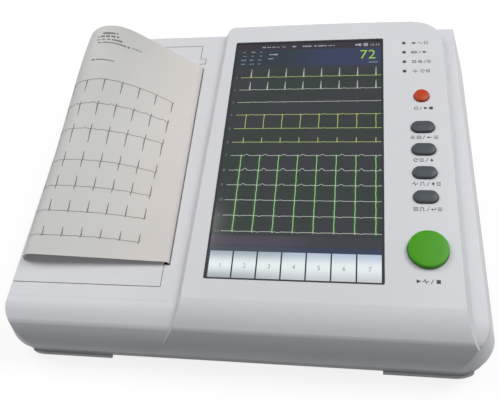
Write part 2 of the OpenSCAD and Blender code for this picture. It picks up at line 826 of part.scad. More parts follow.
module gear_plan(teeth) {
    tip = pitch_r(teeth) + gear_m * 0.95;
    root = pitch_r(teeth) - gear_m * 1.2;
    steps = [root, root + (tip - root) * 0.35, root + (tip - root) * 0.7, tip];
    polygon([for (i = [0 : teeth - 1]) each concat(
        [for (r = steps) let (a = i * 360 / teeth - flank(teeth, r)) [r * cos(a), r * sin(a)]],
        [for (r = backwards(steps)) let (a = i * 360 / teeth + flank(teeth, r))
            [r * cos(a), r * sin(a)]])]);
}

// A gear in the printer's frame, one tooth at the given angle in X and Z
module gear_at(x, w, teeth, angle, bore) {
    translate([x, gear_v + gear_w, w]) rotate([90, 0, 0]) rotate([0, 0, angle]) difference() {
        linear_extrude(gear_w) gear_plan(teeth);
        if (bore > 0) translate([0, 0, -1]) cylinder(r = bore, h = gear_w + 2);
    }
}

idler_turn = idler_angle + 180 + 180 / idler_teeth;
pinion_turn = pinion_angle + 180 - (idler_turn - pinion_angle) * idler_teeth / pinion_teeth
    + 180 / pinion_teeth;

module platen_gear() {
    color([0.9, 0.88, 0.8]) in_printer()
        gear_at(platen_x, -platen_drop, platen_teeth, idler_angle, shaft_r);
}

module idler_gear() {
    color([0.9, 0.88, 0.8]) in_printer()
        gear_at(idler_x, idler_w, idler_teeth, idler_turn, axle_r + run_gap);
}

module motor_pinion() {
    shaft = 1.5;
    color([0.8, 0.68, 0.35]) in_printer() {
        gear_at(motor_x, motor_w, pinion_teeth, pinion_turn, 0);
        translate([motor_x, plate_v - 8, motor_w]) rod_y(shaft, gear_v - plate_v + 8 + bite);
    }
}

module feed_motor() {
    shaft = 1.5;
    color([0.55, 0.56, 0.58]) in_printer() difference() {
        union() {
            translate([motor_x, plate_v - motor_l, motor_w]) rod_y(motor_r, motor_l);
            translate([motor_x, plate_v - bite, motor_w]) rod_y(shaft + 2, plate_t * 0.8 + bite);
        }
        translate([motor_x, plate_v - 9, motor_w]) rod_y(shaft + run_gap, 30);
    }
}

module gear_plate() {
    left = motor_x - motor_r - 4;
    right = motor_x + motor_r + 2;
    top = idler_w + axle_r + 4;
    color([0.7, 0.71, 0.73]) difference() {
        union() {
            in_printer() {
                translate([left, plate_v, -80]) cube([right - left, plate_t, 80 + top]);
                translate([idler_x, plate_v, idler_w]) {
                    rod_y(axle_r, gear_v + gear_w - plate_v + 1);
                    rod_y(axle_r + 1.5, gear_v - plate_v - 0.2);
                }
            }
            translate([left, paper_y + plate_v - 2, floor_top]) cube([right - left, 14, 1.5]);
        }
        translate([-reach / 2, -reach / 2, floor_top - 100]) cube([reach, reach, 100]);
        in_printer() translate([motor_x, plate_v - 1, motor_w]) rod_y(3.5 + 0.1, plate_t + 2);
    }
}

// ---------------------------------------------------------------- print head

module print_head() {
    color([0.92, 0.9, 0.84]) in_printer()
        translate([head_x, -paper_v - 1, head_bottom]) cube([head_t, paper_w + 2, head_top - head_bottom]);
}

module head_heatsink() {
    color([0.75, 0.76, 0.78]) in_printer() difference() {
        translate([head_x + head_t, -paper_v - 1, head_bottom - 2])
            cube([sink_t, paper_w + 2, head_top - head_bottom + 2]);
        for (w = [head_bottom + 1, head_top - 4])
            translate([head_x + head_t + sink_t - 2, -paper_v - 2, w]) cube([4, paper_w + 4, 1.6]);
    }
}

module head_springs() {
    mid = (head_top + head_bottom) / 2 - 0.4;
    color([0.6, 0.6, 0.62]) in_printer() for (i = [-1 : 1])
        translate([bracket_x - spring_r, i * spring_pitch - spring_l / 2, mid])
        tube_y(spring_r - 0.02, spring_r - 0.35, spring_l);
}

module head_bracket() {
    color([0.7, 0.71, 0.73]) in_printer() {
        translate([bracket_x, -plate_v + 0.5, head_bottom - 4])
            cube([bracket_t, 2 * plate_v - 1, -head_bottom + 4 - wall]);
        translate([bracket_x - bracket_flange, -plate_v + 0.5, -wall - bracket_t])
            cube([bracket_flange + bite, 2 * plate_v - 1, bracket_t]);
    }
}

// Serrated strip along the slot's right edge
module tear_bar() {
    pitch = 2;
    count = floor(paper_w / pitch);
    color([0.8, 0.81, 0.83]) in_printer() {
        translate([door_edge_x + slot_w + tear_t, -count * pitch / 2, 0]) rotate([90, 0, -90])
            linear_extrude(tear_t) polygon(concat([[0, -wall - 1], [0, -0.4]],
                [for (i = [0 : count - 1]) each [[-(i + 0.5) * pitch, 0.2], [-(i + 1) * pitch, -0.4]]],
                [[-count * pitch, -wall - 1]]));
        translate([door_edge_x + slot_w, -count * pitch / 2, -wall - 1])
            cube([tear_foot, count * pitch, 1 - bite]);
    }
}

// ---------------------------------------------------------------- paper

module paper_tray() {
    left = roll_x - tray_half;
    notch = journal_r + run_gap;
    color([0.25, 0.26, 0.28]) difference() {
        intersection() {
            in_printer() union() {
                translate([left, -tray_v - tray_end, tray_floor - tray_t])
                    cube([2 * tray_half, 2 * (tray_v + tray_end), tray_rim - tray_floor + tray_t]);
                translate([-200, door_v0 - door_gap - wall, tray_rim - tray_t])
                    cube([200 + roll_x + tray_half, door_v1 - door_v0 + 2 * (door_gap + wall), tray_t]);
            }
            body_form(wall + 1.2, floor_top - 3);
        }
        in_printer() {
            translate([left + tray_t, -tray_v, tray_floor])
                cube([2 * (tray_half - tray_t), 2 * tray_v, 60]);
            translate([roll_x, -tray_v - tray_end - 1, roll_w]) rod_y(notch, 2 * (tray_v + tray_end + 1));
            translate([roll_x - notch, -tray_v - tray_end - 1, roll_w])
                cube([2 * notch, 2 * (tray_v + tray_end + 1), 60]);
        }
        for (p = screw_xy) translate([p[0], p[1], 0]) cylinder(r = boss_r + 0.4, h = 100);
    }
}

module paper_roll() {
    color([0.93, 0.9, 0.88]) in_printer() translate([roll_x, -paper_v, roll_w])
        tube_y(roll_r, core_r, paper_w);
}

module roll_core() {
    color([0.6, 0.5, 0.38]) in_printer() translate([roll_x, -paper_v, roll_w])
        tube_y(core_r, core_r - core_wall, paper_w);
}

module roll_spindle() {
    color([0.2, 0.35, 0.6]) in_printer() translate([roll_x, 0, roll_w]) {
        translate([0, -tray_v - tray_end, 0]) rod_y(journal_r, 2 * (tray_v + tray_end));
        for (v = [-paper_v, paper_v - 12]) translate([0, v, 0]) rod_y(core_r - core_wall, 12);
        for (v = [-tray_v + 0.5, paper_v]) translate([0, v, 0]) rod_y(core_r + 1.5, tray_v - paper_v - 0.5);
    }
}

// The sheet's rise: it leaves the slot upright, leans over the door, arches and hangs past the side
sheet_steps = 34;
sheet_rows = 12;
slot_rise = platen_drop - 1;
slot_bend = 0.052 * sheet_l;
fall = -74;
function ease(a) = let (t = min(1, max(0, a))) t * t * (3 - 2 * t);
// Slope of the sheet behind the slot, from the front row (0) to the rear row (1)
function rise(u) = 6 + 16 * u + 23 * pow(u, 4);
function crest_start(u) = sheet_l * (0.7036 - 0.3257 * u);
function crest_end(u) = sheet_l * (0.8469 + 0.0717 * u);
function heading(u, s) = let (t = s - slot_rise - slot_bend)
    t < 0 ? 90 + (rise(u) - 90) * ease((s - slot_rise) / slot_bend)
    : rise(u) + (fall - rise(u)) * ease((t - crest_start(u)) / (crest_end(u) - crest_start(u)));
function sheet_line(u) = let (d = sheet_l / sheet_steps)
    [for (i = 0, x = slot_x, w = -platen_drop; i <= sheet_steps;
        h = heading(u, (i + 0.5) * d), x = x - d * cos(h), w = w + d * sin(h), i = i + 1)
        [x, w, heading(u, i * d)]];

module paper_sheet() {
    n = sheet_steps + 1;
    m = sheet_rows + 1;
    lines = [for (j = [0 : sheet_rows]) sheet_line(j / sheet_rows)];
    function at(i, j, side) = let (p = lines[j][i], k = side * paper_t / 2)
        [p[0] + k * sin(p[2]), (j / sheet_rows - 0.5) * paper_w, p[1] + k * cos(p[2])];
    points = concat([for (j = [0 : sheet_rows], i = [0 : sheet_steps]) at(i, j, 1)],
        [for (j = [0 : sheet_rows], i = [0 : sheet_steps]) at(i, j, -1)]);
    under = n * m;
    cells = [for (j = [0 : sheet_rows - 1], i = [0 : sheet_steps - 1]) j * n + i];
    border = concat([for (i = [0 : sheet_steps - 1]) i], [for (j = [0 : sheet_rows - 1]) j * n + n - 1],
        [for (i = [sheet_steps : -1 : 1]) sheet_rows * n + i], [for (j = [sheet_rows : -1 : 1]) j * n]);
    last = len(border) - 1;
    faces = concat(
        [for (c = cells) each [[c, c + n + 1, c + n], [c, c + 1, c + n + 1]]],
        [for (c = cells) each [[under + c, under + c + n, under + c + n + 1],
            [under + c, under + c + n + 1, under + c + 1]]],
        [for (k = [0 : last]) let (a = border[k], b = border[k == last ? 0 : k + 1])
            each [[a, under + b, b], [a, under + a, under + b]]]);
    color([0.93, 0.9, 0.89]) in_printer() polyhedron(points, faces);
}

// ---------------------------------------------------------------- electronics

pcb_z = 17;
pcb_t = 1.6;
// Main board: [x0, y0, x size, y size]
pcb = [-30, -30, 118, 158];
board_posts = [for (x = [pcb[0] + 5, pcb[0] + pcb[2] - 5], y = [pcb[1] + 5, pcb[1] + pcb[3] - 5]) [x, y]];

module main_board() {
    chips = [[30, 40, 24, 24, 3], [70, 44, 16, 16, 2], [26, 96, 34, 22, 4], [80, 100, 12, 18, 2.5],
        [14, 12, 10, 20, 8], [96, 20, 12, 40, 6], [60, 132, 40, 12, 8]];
    color([0.1, 0.42, 0.25]) translate([pcb[0], pcb[1], pcb_z]) difference() {
        union() {
            cube([pcb[2], pcb[3], pcb_t]);
            for (c = chips) translate([c[0], c[1], pcb_t - bite]) cube([c[2], c[3], c[4]]);
            for (i = [0 : 3]) translate([70 + i * 8, 80, pcb_t - bite]) cylinder(r = 3, h = 9);
        }
        for (p = board_posts) translate([p[0] - pcb[0], p[1] - pcb[1], -1]) cylinder(r = 1.6, h = 4);
    }
}

supply = [100, 10, 76, 118];
supply_stand = 6;
supply_part_h = 24;
fin_pitch = 19;

module power_supply() {
    color([0.75, 0.6, 0.3]) translate([supply[0], supply[1], floor_top]) {
        for (x = [6, supply[2] - 6], y = [6, supply[3] - 6]) translate([x, y, 0])
            cylinder(r = 3, h = supply_stand);
        translate([0, 0, supply_stand - bite]) cube([supply[2], supply[3], pcb_t]);
        translate([24, 40, supply_stand + 1]) cube([28, 30, supply_part_h]);
        for (y = [16, 92]) translate([18, y, supply_stand + 1]) cylinder(r = 8, h = supply_part_h);
        // Finned heat sink
        translate([62, 14, supply_stand + 1]) cube([3, 4 * fin_pitch + 2, supply_part_h - 2]);
        for (i = [0 : 4]) translate([60, 14 + i * fin_pitch, supply_stand + 1])
            cube([9, 2, supply_part_h - 2]);
    }
}

module battery_pack() {
    color([0.15, 0.3, 0.55]) translate([bay_x, bay_y, floor_z + cover_t]) {
        slab(pack[0], pack[1], pack[2], 3);
    }
}

module battery_cover() {
    color([0.5, 0.52, 0.54]) translate([bay_x, bay_y, floor_z]) difference() {
        slab(pack[0] + 2 * cover_lap, pack[1] + 2 * cover_lap, cover_t, 3.7);
        for (s = [-1, 1]) translate([s * cover_screw_x, 0, -1])
            cylinder(r = 1.3, h = cover_t + 2);
        for (i = [-3 : 3]) translate([i * 9 - 1, -20, -1]) cube([2, 40, 1.6]);
    }
}

module speaker() {
    color([0.2, 0.2, 0.22]) translate([speaker_xy[0], speaker_xy[1], floor_top]) {
        cylinder(r = speaker_r, h = 3);
        cylinder(r = speaker_r - 4, h = 8);
    }
}

// ---------------------------------------------------------------- rear panel

jack_pitch = 33.3;
jack_r = 2.9;
inlet_size = [28, 21];
inlet_flange = inlet_size + [5, 4];
rocker_size = [20, 14];
rocker_flange = rocker_size + [3, 3];
net_size = [16, 14];
usb_size = [14.5, 7.2];
d_size = [25, 11];
panel_screw_r = 2.4;
panel_screw_in = 4.5;
// Widths of the connectors from the patient cable to the mains, and the equal gap between them
row_widths = [jack_pitch + 2 * jack_r, usb_size[0], net_size[0], 4 * stud_r, rocker_flange[0],
    inlet_flange[0]];
row_start = panel_lap + 1;
row_end = panel_screw_in + panel_screw_r + 0.6;
function sum_to(list, n) = n < 1 ? 0 : list[n - 1] + sum_to(list, n - 1);
row_gap = (panel_w - row_start - row_end - sum_to(row_widths, 6)) / 5;
function row_at(n) = panel_x - panel_w / 2 + row_start + sum_to(row_widths, n) + n * row_gap
    + row_widths[n] / 2;
patient_x = row_at(0);
usb_mid = row_at(1);
network_x = row_at(2);
stud_x = row_at(3);
rocker_x = row_at(4);
inlet_x = row_at(5);

module on_panel(x, z) {
    translate([x, out_y, z]) rotate([-90, 0, 0]) children();
}

// Centred block in the panel's own frame, outwards positive
module plug_block(size, from, to) {
    translate([-size[0] / 2, -size[1] / 2, from]) cube([size[0], size[1], to - from]);
}

module rear_panel() {
    color([0.3, 0.31, 0.33]) difference() {
        translate([panel_x - panel_w / 2, plate_y, panel_z - panel_h / 2])
            cube([panel_w, plate_t2, panel_h]);
        on_panel(inlet_x, panel_z) plug_block(inlet_size + [seat, seat], -9, 9);
        on_panel(rocker_x, panel_z) plug_block(rocker_size + [seat, seat], -9, 9);
        on_panel(stud_x, panel_z) translate([0, 0, -9]) cylinder(r = shank_r, h = 18);
        on_panel(network_x, panel_z) plug_block(net_size + [seat, seat], -9, 9);
        on_panel(usb_mid, panel_z + 5) plug_block(usb_size + [seat, seat], -9, 9);
        on_panel(usb_mid, panel_z - 5) plug_block(usb_size + [seat, seat], -9, 9);
        on_panel(patient_x, panel_z) plug_block(d_size + [seat, seat], -9, 9);
        for (s = [-1, 1]) on_panel(patient_x + s * jack_pitch / 2, panel_z)
            translate([0, 0, -9]) cylinder(r = 1.6, h = 18);
        for (s = [-1, 1], z = [-1, 1])
            translate([panel_x + s * (panel_w / 2 - panel_screw_in), plate_y - 1,
                panel_z + z * (panel_h / 2 - panel_screw_in)]) rod_y(1.3, 9);
    }
}

module mains_inlet() {
    cavity = [23.5, 15.5];
    color([0.1, 0.1, 0.11]) on_panel(inlet_x, panel_z) {
        difference() {
            union() {
                plug_block(inlet_size, -20, 0.1);
                plug_block(inlet_flange, 0, 1.6);
            }
            translate([0, 0, -16]) linear_extrude(30) polygon([[-cavity[0] / 2, -cavity[1] / 2],
                [cavity[0] / 2, -cavity[1] / 2], [cavity[0] / 2, cavity[1] / 2 - 5],
                [cavity[0] / 2 - 5, cavity[1] / 2], [-cavity[0] / 2 + 5, cavity[1] / 2],
                [-cavity[0] / 2, cavity[1] / 2 - 5]]);
        }
        for (p = [[-7, -2], [7, -2], [0, 2]]) translate([p[0] - 1, p[1] - 2, -16 - bite])
            cube([2, 4, 11]);
    }
}

// The rocker swings in a frame; its two faces meet in a shallow valley
rocker_tilt = 7;
rocker_axis = -4.5;
rocker_body = [rocker_size[0] - 5, rocker_size[1] - 4];

module rocker_frame() {
    color([0.1, 0.1, 0.11]) on_panel(rocker_x, panel_z) difference() {
        union() {
            plug_block(rocker_size, -16, 0.1);
            plug_block(rocker_flange, 0, 1.5);
        }
        plug_block(rocker_body + [0.6, 1], -13, 9);
        translate([-rocker_body[0] / 2 - 1.5, 0, rocker_axis]) rotate([0, 90, 0])
            cylinder(r = 1.2 + run_gap, h = rocker_body[0] + 3);
    }
}

module rocker_switch() {
    l = rocker_body[1] / 2 - 0.6;
    color([0.75, 0.15, 0.12]) on_panel(rocker_x, panel_z)
        translate([0, 0, rocker_axis]) rotate([-rocker_tilt, 0, 0]) {
            translate([-rocker_body[0] / 2, 0, 0]) rotate([90, 0, 90])
                linear_extrude(rocker_body[0]) polygon([[-l, -2.5], [l, -2.5], [l, 6.2], [0, 5.2],
                    [-l, 6.2]]);
            translate([-rocker_body[0] / 2 - 1.3, 0, 0]) rotate([0, 90, 0])
                cylinder(r = 1.2, h = rocker_body[0] + 2.6);
        }
}

// The stud's shank is relieved where the panel and the nut hold it
shank_r = stud_r - 0.4;
stud_tail = 8;
washer_t = 0.8;
nut_h = 3;

module equipotential_stud() {
    color([0.85, 0.75, 0.35]) on_panel(stud_x, panel_z) {
        translate([0, 0, nut_h]) cylinder(r = stud_r, h = stud_l);
        translate([0, 0, -stud_tail]) cylinder(r = shank_r, h = stud_tail + nut_h + bite);
        translate([0, 0, -plate_t2 - 2]) cylinder(r = stud_r + 2.5, h = 2);
    }
}

module stud_nut() {
    color([0.85, 0.75, 0.35]) on_panel(stud_x, panel_z) difference() {
        union() {
            cylinder(r = stud_r * 2, h = washer_t);
            translate([0, 0, washer_t - bite])
                cylinder(r = stud_r * 1.85, h = nut_h - washer_t + bite, $fn = 6);
        }
        translate([0, 0, -1]) cylinder(r = shank_r, h = nut_h + 2);
    }
}

module usb_sockets() {
    color([0.78, 0.79, 0.8]) for (dz = [-5, 5]) on_panel(usb_mid, panel_z + dz) {
        difference() {
            plug_block(usb_size, -14, 0.4);
            plug_block(usb_size - [1.2, 1.6], -12, 5);
        }
        translate([-5.5, 0.6, -12 - bite]) cube([11, 1.8, 10]);
    }
}

module network_socket() {
    color([0.78, 0.79, 0.8]) on_panel(network_x, panel_z) difference() {
        plug_block(net_size, -16, 0.4);
        plug_block([12, 8], -13, 5);
    }
}

module patient_socket() {
    color([0.72, 0.73, 0.75]) on_panel(patient_x, panel_z) difference() {
        union() {
            plug_block(d_size, -12, 0.1);
            translate([0, 0, 0]) linear_extrude(5) polygon([[-11.5, 4.2], [11.5, 4.2], [10, -4.2],
                [-10, -4.2]]);
        }
        for (i = [0 : 7]) translate([(i - 3.5) * 2.76, 1.42, 1]) cylinder(r = 0.55, h = 9, $fn = 16);
        for (i = [0 : 6]) translate([(i - 3) * 2.76, -1.42, 1]) cylinder(r = 0.55, h = 9, $fn = 16);
    }
}

module patient_jackscrews() {
    color([0.8, 0.81, 0.83]) for (s = [-1, 1]) on_panel(patient_x + s * jack_pitch / 2, panel_z)
        difference() {
            union() {
                translate([0, 0, -7]) cylinder(r = 1.5, h = 8);
                cylinder(r = jack_r, h = 5, $fn = 6);
            }
            translate([0, 0, -1]) cylinder(r = 1.1, h = 9);
        }
}

// ---------------------------------------------------------------- feet and screws

module rubber_feet() {
    color([0.12, 0.12, 0.13]) for (p = pads) translate([pad_mid(p)[0], pad_mid(p)[1], 0])
        cylinder(r = foot_r, h = pad_z + foot_sink);
}

module screw(r, l, head) {
    difference() {
        union() {
            cylinder(r = r, h = l);
            translate([0, 0, -head_h]) cylinder(r = head, h = head_h);
        }
        for (a = [0, 90]) rotate([0, 0, a]) translate([-1.6, -0.4, -head_h - 1]) cube([3.2, 0.8, 1.9]);
    }
}

module case_screws() {
    color([0.55, 0.56, 0.58]) for (p = screw_xy) translate([p[0], p[1], floor_z + head_h])
        screw(screw_r, 14, head_r);
}

module cover_screws() {
    color([0.55, 0.56, 0.58]) for (s = [-1, 1])
        translate([bay_x + s * cover_screw_x, bay_y, floor_z])
            screw(1.2, wall, 2.2);
}

module panel_screws() {
    color([0.55, 0.56, 0.58]) for (s = [-1, 1], z = [-1, 1])
        translate([panel_x + s * (panel_w / 2 - panel_screw_in), out_y,
            panel_z + z * (panel_h / 2 - panel_screw_in)])
            rotate([90, 0, 0]) screw(1.2, 6, panel_screw_r);
}

upper_casing();
lower_casing();
display_glass();
display_gasket();
display_module();
display_bracket();
keypad_board();
key_switches();
power_key();
grey_key_1();
grey_key_2();
grey_key_3();
grey_key_4();
start_key();
led_pipes();
printer_door();
hinge_pins();
platen_bushes();
platen_roller();
platen_shaft();
platen_gear();
idler_gear();
gear_plate();
feed_motor();
motor_pinion();
print_head();
head_heatsink();
head_springs();
head_bracket();
tear_bar();
paper_tray();
paper_roll();
roll_core();
roll_spindle();
paper_sheet();
main_board();
power_supply();
battery_pack();
battery_cover();
rear_panel();
mains_inlet();
rocker_frame();
rocker_switch();
equipotential_stud();
stud_nut();
usb_sockets();
network_socket();
patient_socket();
patient_jackscrews();
speaker();
rubber_feet();
case_screws();
cover_screws();
panel_screws();
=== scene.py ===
# %% [markdown]
# # Looks for an ECG machine
# The solid parts of the machine come in ready made and in place. This lesson gives them their
# finishes and adds what only shows on the surface: the lit picture on the screen, the keys'
# domed caps, the printed marks and the thin chart paper. Lengths are in metres, with X to the
# user's right, Y away from the user and Z up.

# %% Load the solid parts
import math
import bmesh
import bpy
from mathutils import Matrix, Vector


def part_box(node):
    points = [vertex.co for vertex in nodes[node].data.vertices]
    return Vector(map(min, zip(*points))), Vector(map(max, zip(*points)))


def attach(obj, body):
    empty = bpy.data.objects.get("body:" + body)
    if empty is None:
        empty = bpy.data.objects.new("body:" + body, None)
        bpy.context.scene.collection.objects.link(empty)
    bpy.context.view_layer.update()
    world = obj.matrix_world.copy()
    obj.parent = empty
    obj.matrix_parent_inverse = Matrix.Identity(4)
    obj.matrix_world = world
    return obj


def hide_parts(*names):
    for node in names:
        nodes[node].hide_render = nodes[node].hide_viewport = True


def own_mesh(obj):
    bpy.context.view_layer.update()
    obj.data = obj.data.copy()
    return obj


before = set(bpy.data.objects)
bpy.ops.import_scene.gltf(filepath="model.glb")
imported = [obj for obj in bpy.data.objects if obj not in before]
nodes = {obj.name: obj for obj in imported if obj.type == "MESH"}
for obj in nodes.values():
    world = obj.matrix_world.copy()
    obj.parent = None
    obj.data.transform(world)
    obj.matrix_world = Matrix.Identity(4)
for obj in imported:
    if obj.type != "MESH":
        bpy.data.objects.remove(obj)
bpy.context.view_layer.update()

print(len(nodes), "solid parts loaded")

# %% [markdown]
# ## The places everything else is measured from
# The console's top leans up towards the rear by a few degrees. A place on it is easiest to give
# in flat numbers, across and up the slope, so one matrix takes flat numbers to the real surface.
# The chart printer uses a second slope of the same lean, a little lower.

# %% Slopes of the console and of the printer
MM = 0.001
LEAN = math.radians(3.5)
CONSOLE_Z = 69.4 * MM
DECK_Z = 61.4 * MM
PRINTER_Y = 10 * MM
SCREEN_X, SCREEN_Y = 46.5 * MM, 15 * MM


def on_console(x, y, height=0.0):
    """Matrix of a flat place on the console's top, all three in metres."""
    spot = Matrix.Translation((x, y, CONSOLE_Z + y * math.tan(LEAN)))
    return spot @ Matrix.Rotation(LEAN, 4, "X") @ Matrix.Translation((0, 0, height))


PRINTER = (Matrix.Translation((0, PRINTER_Y, DECK_Z + PRINTER_Y * math.tan(LEAN)))
           @ Matrix.Rotation(LEAN, 4, "X"))
print("screen centre at", tuple(round(v, 4) for v in on_console(SCREEN_X, SCREEN_Y).translation))

# %% [markdown]
# ## Camera
# The camera looks down over the machine from the front, a little to its right. A camera object
# looks along its own -Z with +Y up, so its matrix is filled with three directions: right, up
# and backwards. The lens length sets how much of the scene fits across the sensor.

# %% Place the camera
CAMERA_PLACE = (98.8 * MM, -321.9 * MM, 504.4 * MM)
CAMERA_RIGHT = Vector((0.984, 0.107, -0.140))
CAMERA_AHEAD = Vector((-0.175, 0.536, -0.826))
LENS_LENGTH, SENSOR_WIDTH, NEAREST = 45.226, 36, 10 * MM
camera = bpy.data.objects.new("camera", bpy.data.cameras.new("camera"))
bpy.context.scene.collection.objects.link(camera)
ahead = CAMERA_AHEAD.normalized()
up = CAMERA_RIGHT.normalized().cross(ahead).normalized()
turned = Matrix((ahead.cross(up), up, -ahead)).transposed().to_4x4()
camera.matrix_world = Matrix.Translation(CAMERA_PLACE) @ turned
camera.data.lens, camera.data.sensor_width = LENS_LENGTH, SENSOR_WIDTH
camera.data.clip_start = NEAREST
bpy.context.scene.camera = camera
bpy.context.scene.view_settings.view_transform = "Standard"
print("camera placed, lens", LENS_LENGTH, "mm")

# %% [markdown]
# ## Shader maths in plain expressions
# Node trees are quick to read when they look like sums. `Value` wraps a socket and overloads the
# usual operators, so `1 - mask * 0.5` adds the Math nodes for us. `Finish` holds one material
# while it is written, and its `node` method adds every other kind of node.

# %% A number on a socket
def operator(operation, swapped=False):
    """A method that adds a Math node to self and the other number, or to the other and self."""
    def apply(self, *other):
        values = [*other, self] if swapped else [self, *other]
        sockets = dict(enumerate(values))
        node = self.finish.node("ShaderNodeMath", {"operation": operation}, sockets)
        return Value(self.finish, node.outputs[0])
    return apply


class Value:
    """A shader number: arithmetic on it adds Math nodes."""

    __add__ = operator("ADD")
    __sub__ = operator("SUBTRACT")
    __rsub__ = operator("SUBTRACT", swapped=True)
    __mul__ = operator("MULTIPLY")
    __truediv__ = operator("DIVIDE")
    __mod__ = operator("FLOORED_MODULO")
    __gt__ = operator("GREATER_THAN")
    __lt__ = operator("LESS_THAN")
    __abs__ = operator("ABSOLUTE")

    def __init__(self, finish, socket):
        self.finish, self.socket = finish, socket

    def ramp(self, low, high):
        """0 below low, 1 above high, smooth between them."""
        node = self.finish.node("ShaderNodeMapRange", {"interpolation_type": "SMOOTHSTEP"},
                                {"Value": self, "From Min": low, "From Max": high})
        return Value(self.finish, node.outputs["Result"])


# %% A material while it is written
def tone(red, green, blue):
    """A colour as a screen shows it, 0 to 255, turned into the linear colour shaders use."""
    def linear(v):
        v /= 255
        return v / 12.92 if v <= 0.04045 else ((v + 0.055) / 1.055) ** 2.4
    return (linear(red), linear(green), linear(blue), 1)


def shade(colour, share):
    """The same colour with only that share of its light."""
    return tuple(part * share for part in colour[:3]) + (1,)


class Finish:
    """One material: its shader, and the nodes that feed it."""

    def __init__(self, name, roughness, metallic=0.0):
        self.material = bpy.data.materials.new(name)
        self.material.use_nodes = True
        self.tree = self.material.node_tree
        self.shader = self.tree.nodes["Principled BSDF"]
        self.set("Roughness", roughness)
        self.set("Metallic", metallic)

    def node(self, kind, settings=None, sockets=None):
        """A new node with those settings, and with numbers, colours or sockets fed to it."""
        node = self.tree.nodes.new(kind)
        for key, value in (settings or {}).items():
            setattr(node, key, value)
        for key, value in (sockets or {}).items():
            self.feed(node.inputs[key], value)
        return node

    def feed(self, socket, value):
        """Gives a socket a fixed value, or links it to the socket or Value given."""
        if isinstance(value, Value):
            value = value.socket
        if isinstance(value, bpy.types.NodeSocket):
            self.tree.links.new(value, socket)
        else:
            socket.default_value = value

    def set(self, name, value):
        """Feeds one input of the material's own shader."""
        self.feed(self.shader.inputs[name], value)

    def mix(self, factor, low, high):
        """The colour low where factor is 0, and high where it is 1."""
        node = self.node("ShaderNodeMix", {"data_type": "RGBA"}, {0: factor, 6: low, 7: high})
        return node.outputs[2]

    def object_place(self):
        """The socket that gives the place on the object, in metres."""
        return self.node("ShaderNodeTexCoord").outputs["Object"]

    def split(self, vector):
        """The three numbers of a vector."""
        parts = self.node("ShaderNodeSeparateXYZ", {}, {0: vector})
        return [Value(self, socket) for socket in parts.outputs]

    def noise(self, scale, detail, stretch=None):
        """Cloudy numbers from 0 to 1, stretched along one direction if asked."""
        place = self.object_place()
        if stretch:
            mapping = self.node("ShaderNodeMapping", {}, {"Vector": place, "Scale": stretch})
            place = mapping.outputs[0]
        sockets = {"Vector": place, "Scale": scale, "Detail": detail}
        return Value(self, self.node("ShaderNodeTexNoise", {}, sockets).outputs["Fac"])

    def relief(self, height, depth, edge=0.0):
        """Fine bumps of that depth, on edges that catch the light as if rounded by edge."""
        sockets = {"Height": height, "Distance": depth, "Strength": 1.0}
        if edge:
            rounded = self.node("ShaderNodeBevel", {"samples": 6}, {"Radius": edge})
            sockets["Normal"] = rounded.outputs["Normal"]
        self.set("Normal", self.node("ShaderNodeBump", {}, sockets).outputs["Normal"])

    def show(self, shader):
        """Puts another shader node's result on the surface in place of the material's own."""
        self.feed(self.tree.nodes["Material Output"].inputs["Surface"], shader.outputs[0])


print("shader helpers ready")

# %% [markdown]
# ## Moulded plastic
# An instrument housing is moulded in a steel tool whose surface was spark eroded, which leaves a
# fine even grain. The grain is a bump of a hundredth of a millimetre or two, deeper on card and
# on the loudspeaker's paper cone. Colour varies only a little, from handling and age, and the
# gloss is a touch uneven where hands have rubbed it.

# %% Plastics
def moulded(name, colour, roughness, grain=0.02, grain_scale=2600, edge=0.4, age=0.03):
    """Grained plastic. The depth of the grain and the rounding of edges are in millimetres."""
    finish = Finish(name, roughness)
    cloud = finish.noise(9, 3)
    finish.set("Base Color", finish.mix(cloud.ramp(0.35, 0.7), shade(colour, 1 - age), colour))
    finish.set("Roughness", finish.noise(45, 2) * 0.12 + (roughness - 0.06))
    finish.relief(finish.noise(grain_scale, 1), grain * MM, edge * MM)
    return finish


housing = moulded("housing_plastic", tone(221, 221, 225), 0.40, 0.012, 2200, 0.9, 0.02)
base = moulded("base_plastic", tone(206, 207, 210), 0.5, grain_scale=1800, edge=0.6)
dark_plastic = moulded("dark_plastic", tone(38, 39, 42), 0.55)
panel_plastic = moulded("connector_panel_plastic", tone(66, 68, 72), 0.5)
tray_plastic = moulded("paper_bay_plastic", tone(92, 94, 98), 0.55)
sleeve_blue = moulded("battery_sleeve", tone(38, 84, 140), 0.35, edge=1.5)
spindle_blue = moulded("spindle_plastic", tone(60, 98, 160), 0.45)
gear_white = moulded("gear_plastic", tone(226, 221, 205), 0.45, 0.008)
rocker_red = moulded("rocker_plastic", tone(190, 40, 32), 0.25, 0.004)
bush_black = moulded("bush_plastic", tone(30, 30, 32), 0.4)
speaker_paper = moulded("speaker_cone", tone(34, 34, 36), 0.85, 0.04, 900)
ceramic = moulded("head_ceramic", tone(232, 228, 214), 0.2, 0.003)
cardboard = moulded("roll_core_card", tone(168, 142, 106), 0.9, 0.05, 700, 0)
print("moulded finishes written")

# %% [markdown]
# Hands press the same keys all day, so the caps have a finer grain than the housing, under a
# thin coat of polish.

# %% Key plastics
def key_plastic(name, colour):
    """Plastic worn smooth, under a thin polish."""
    finish = moulded(name, colour, 0.42, 0.006, 3000, 0, 0.05)
    finish.set("Specular IOR Level", 0.3)
    finish.set("Coat Weight", 0.08)
    finish.set("Coat Roughness", 0.25)
    return finish


orange_key = key_plastic("orange_key_plastic", tone(198, 68, 30))
grey_key = key_plastic("grey_key_plastic", tone(80, 85, 90))
green_key = key_plastic("green_key_plastic", tone(70, 160, 2))
print("key finishes written")

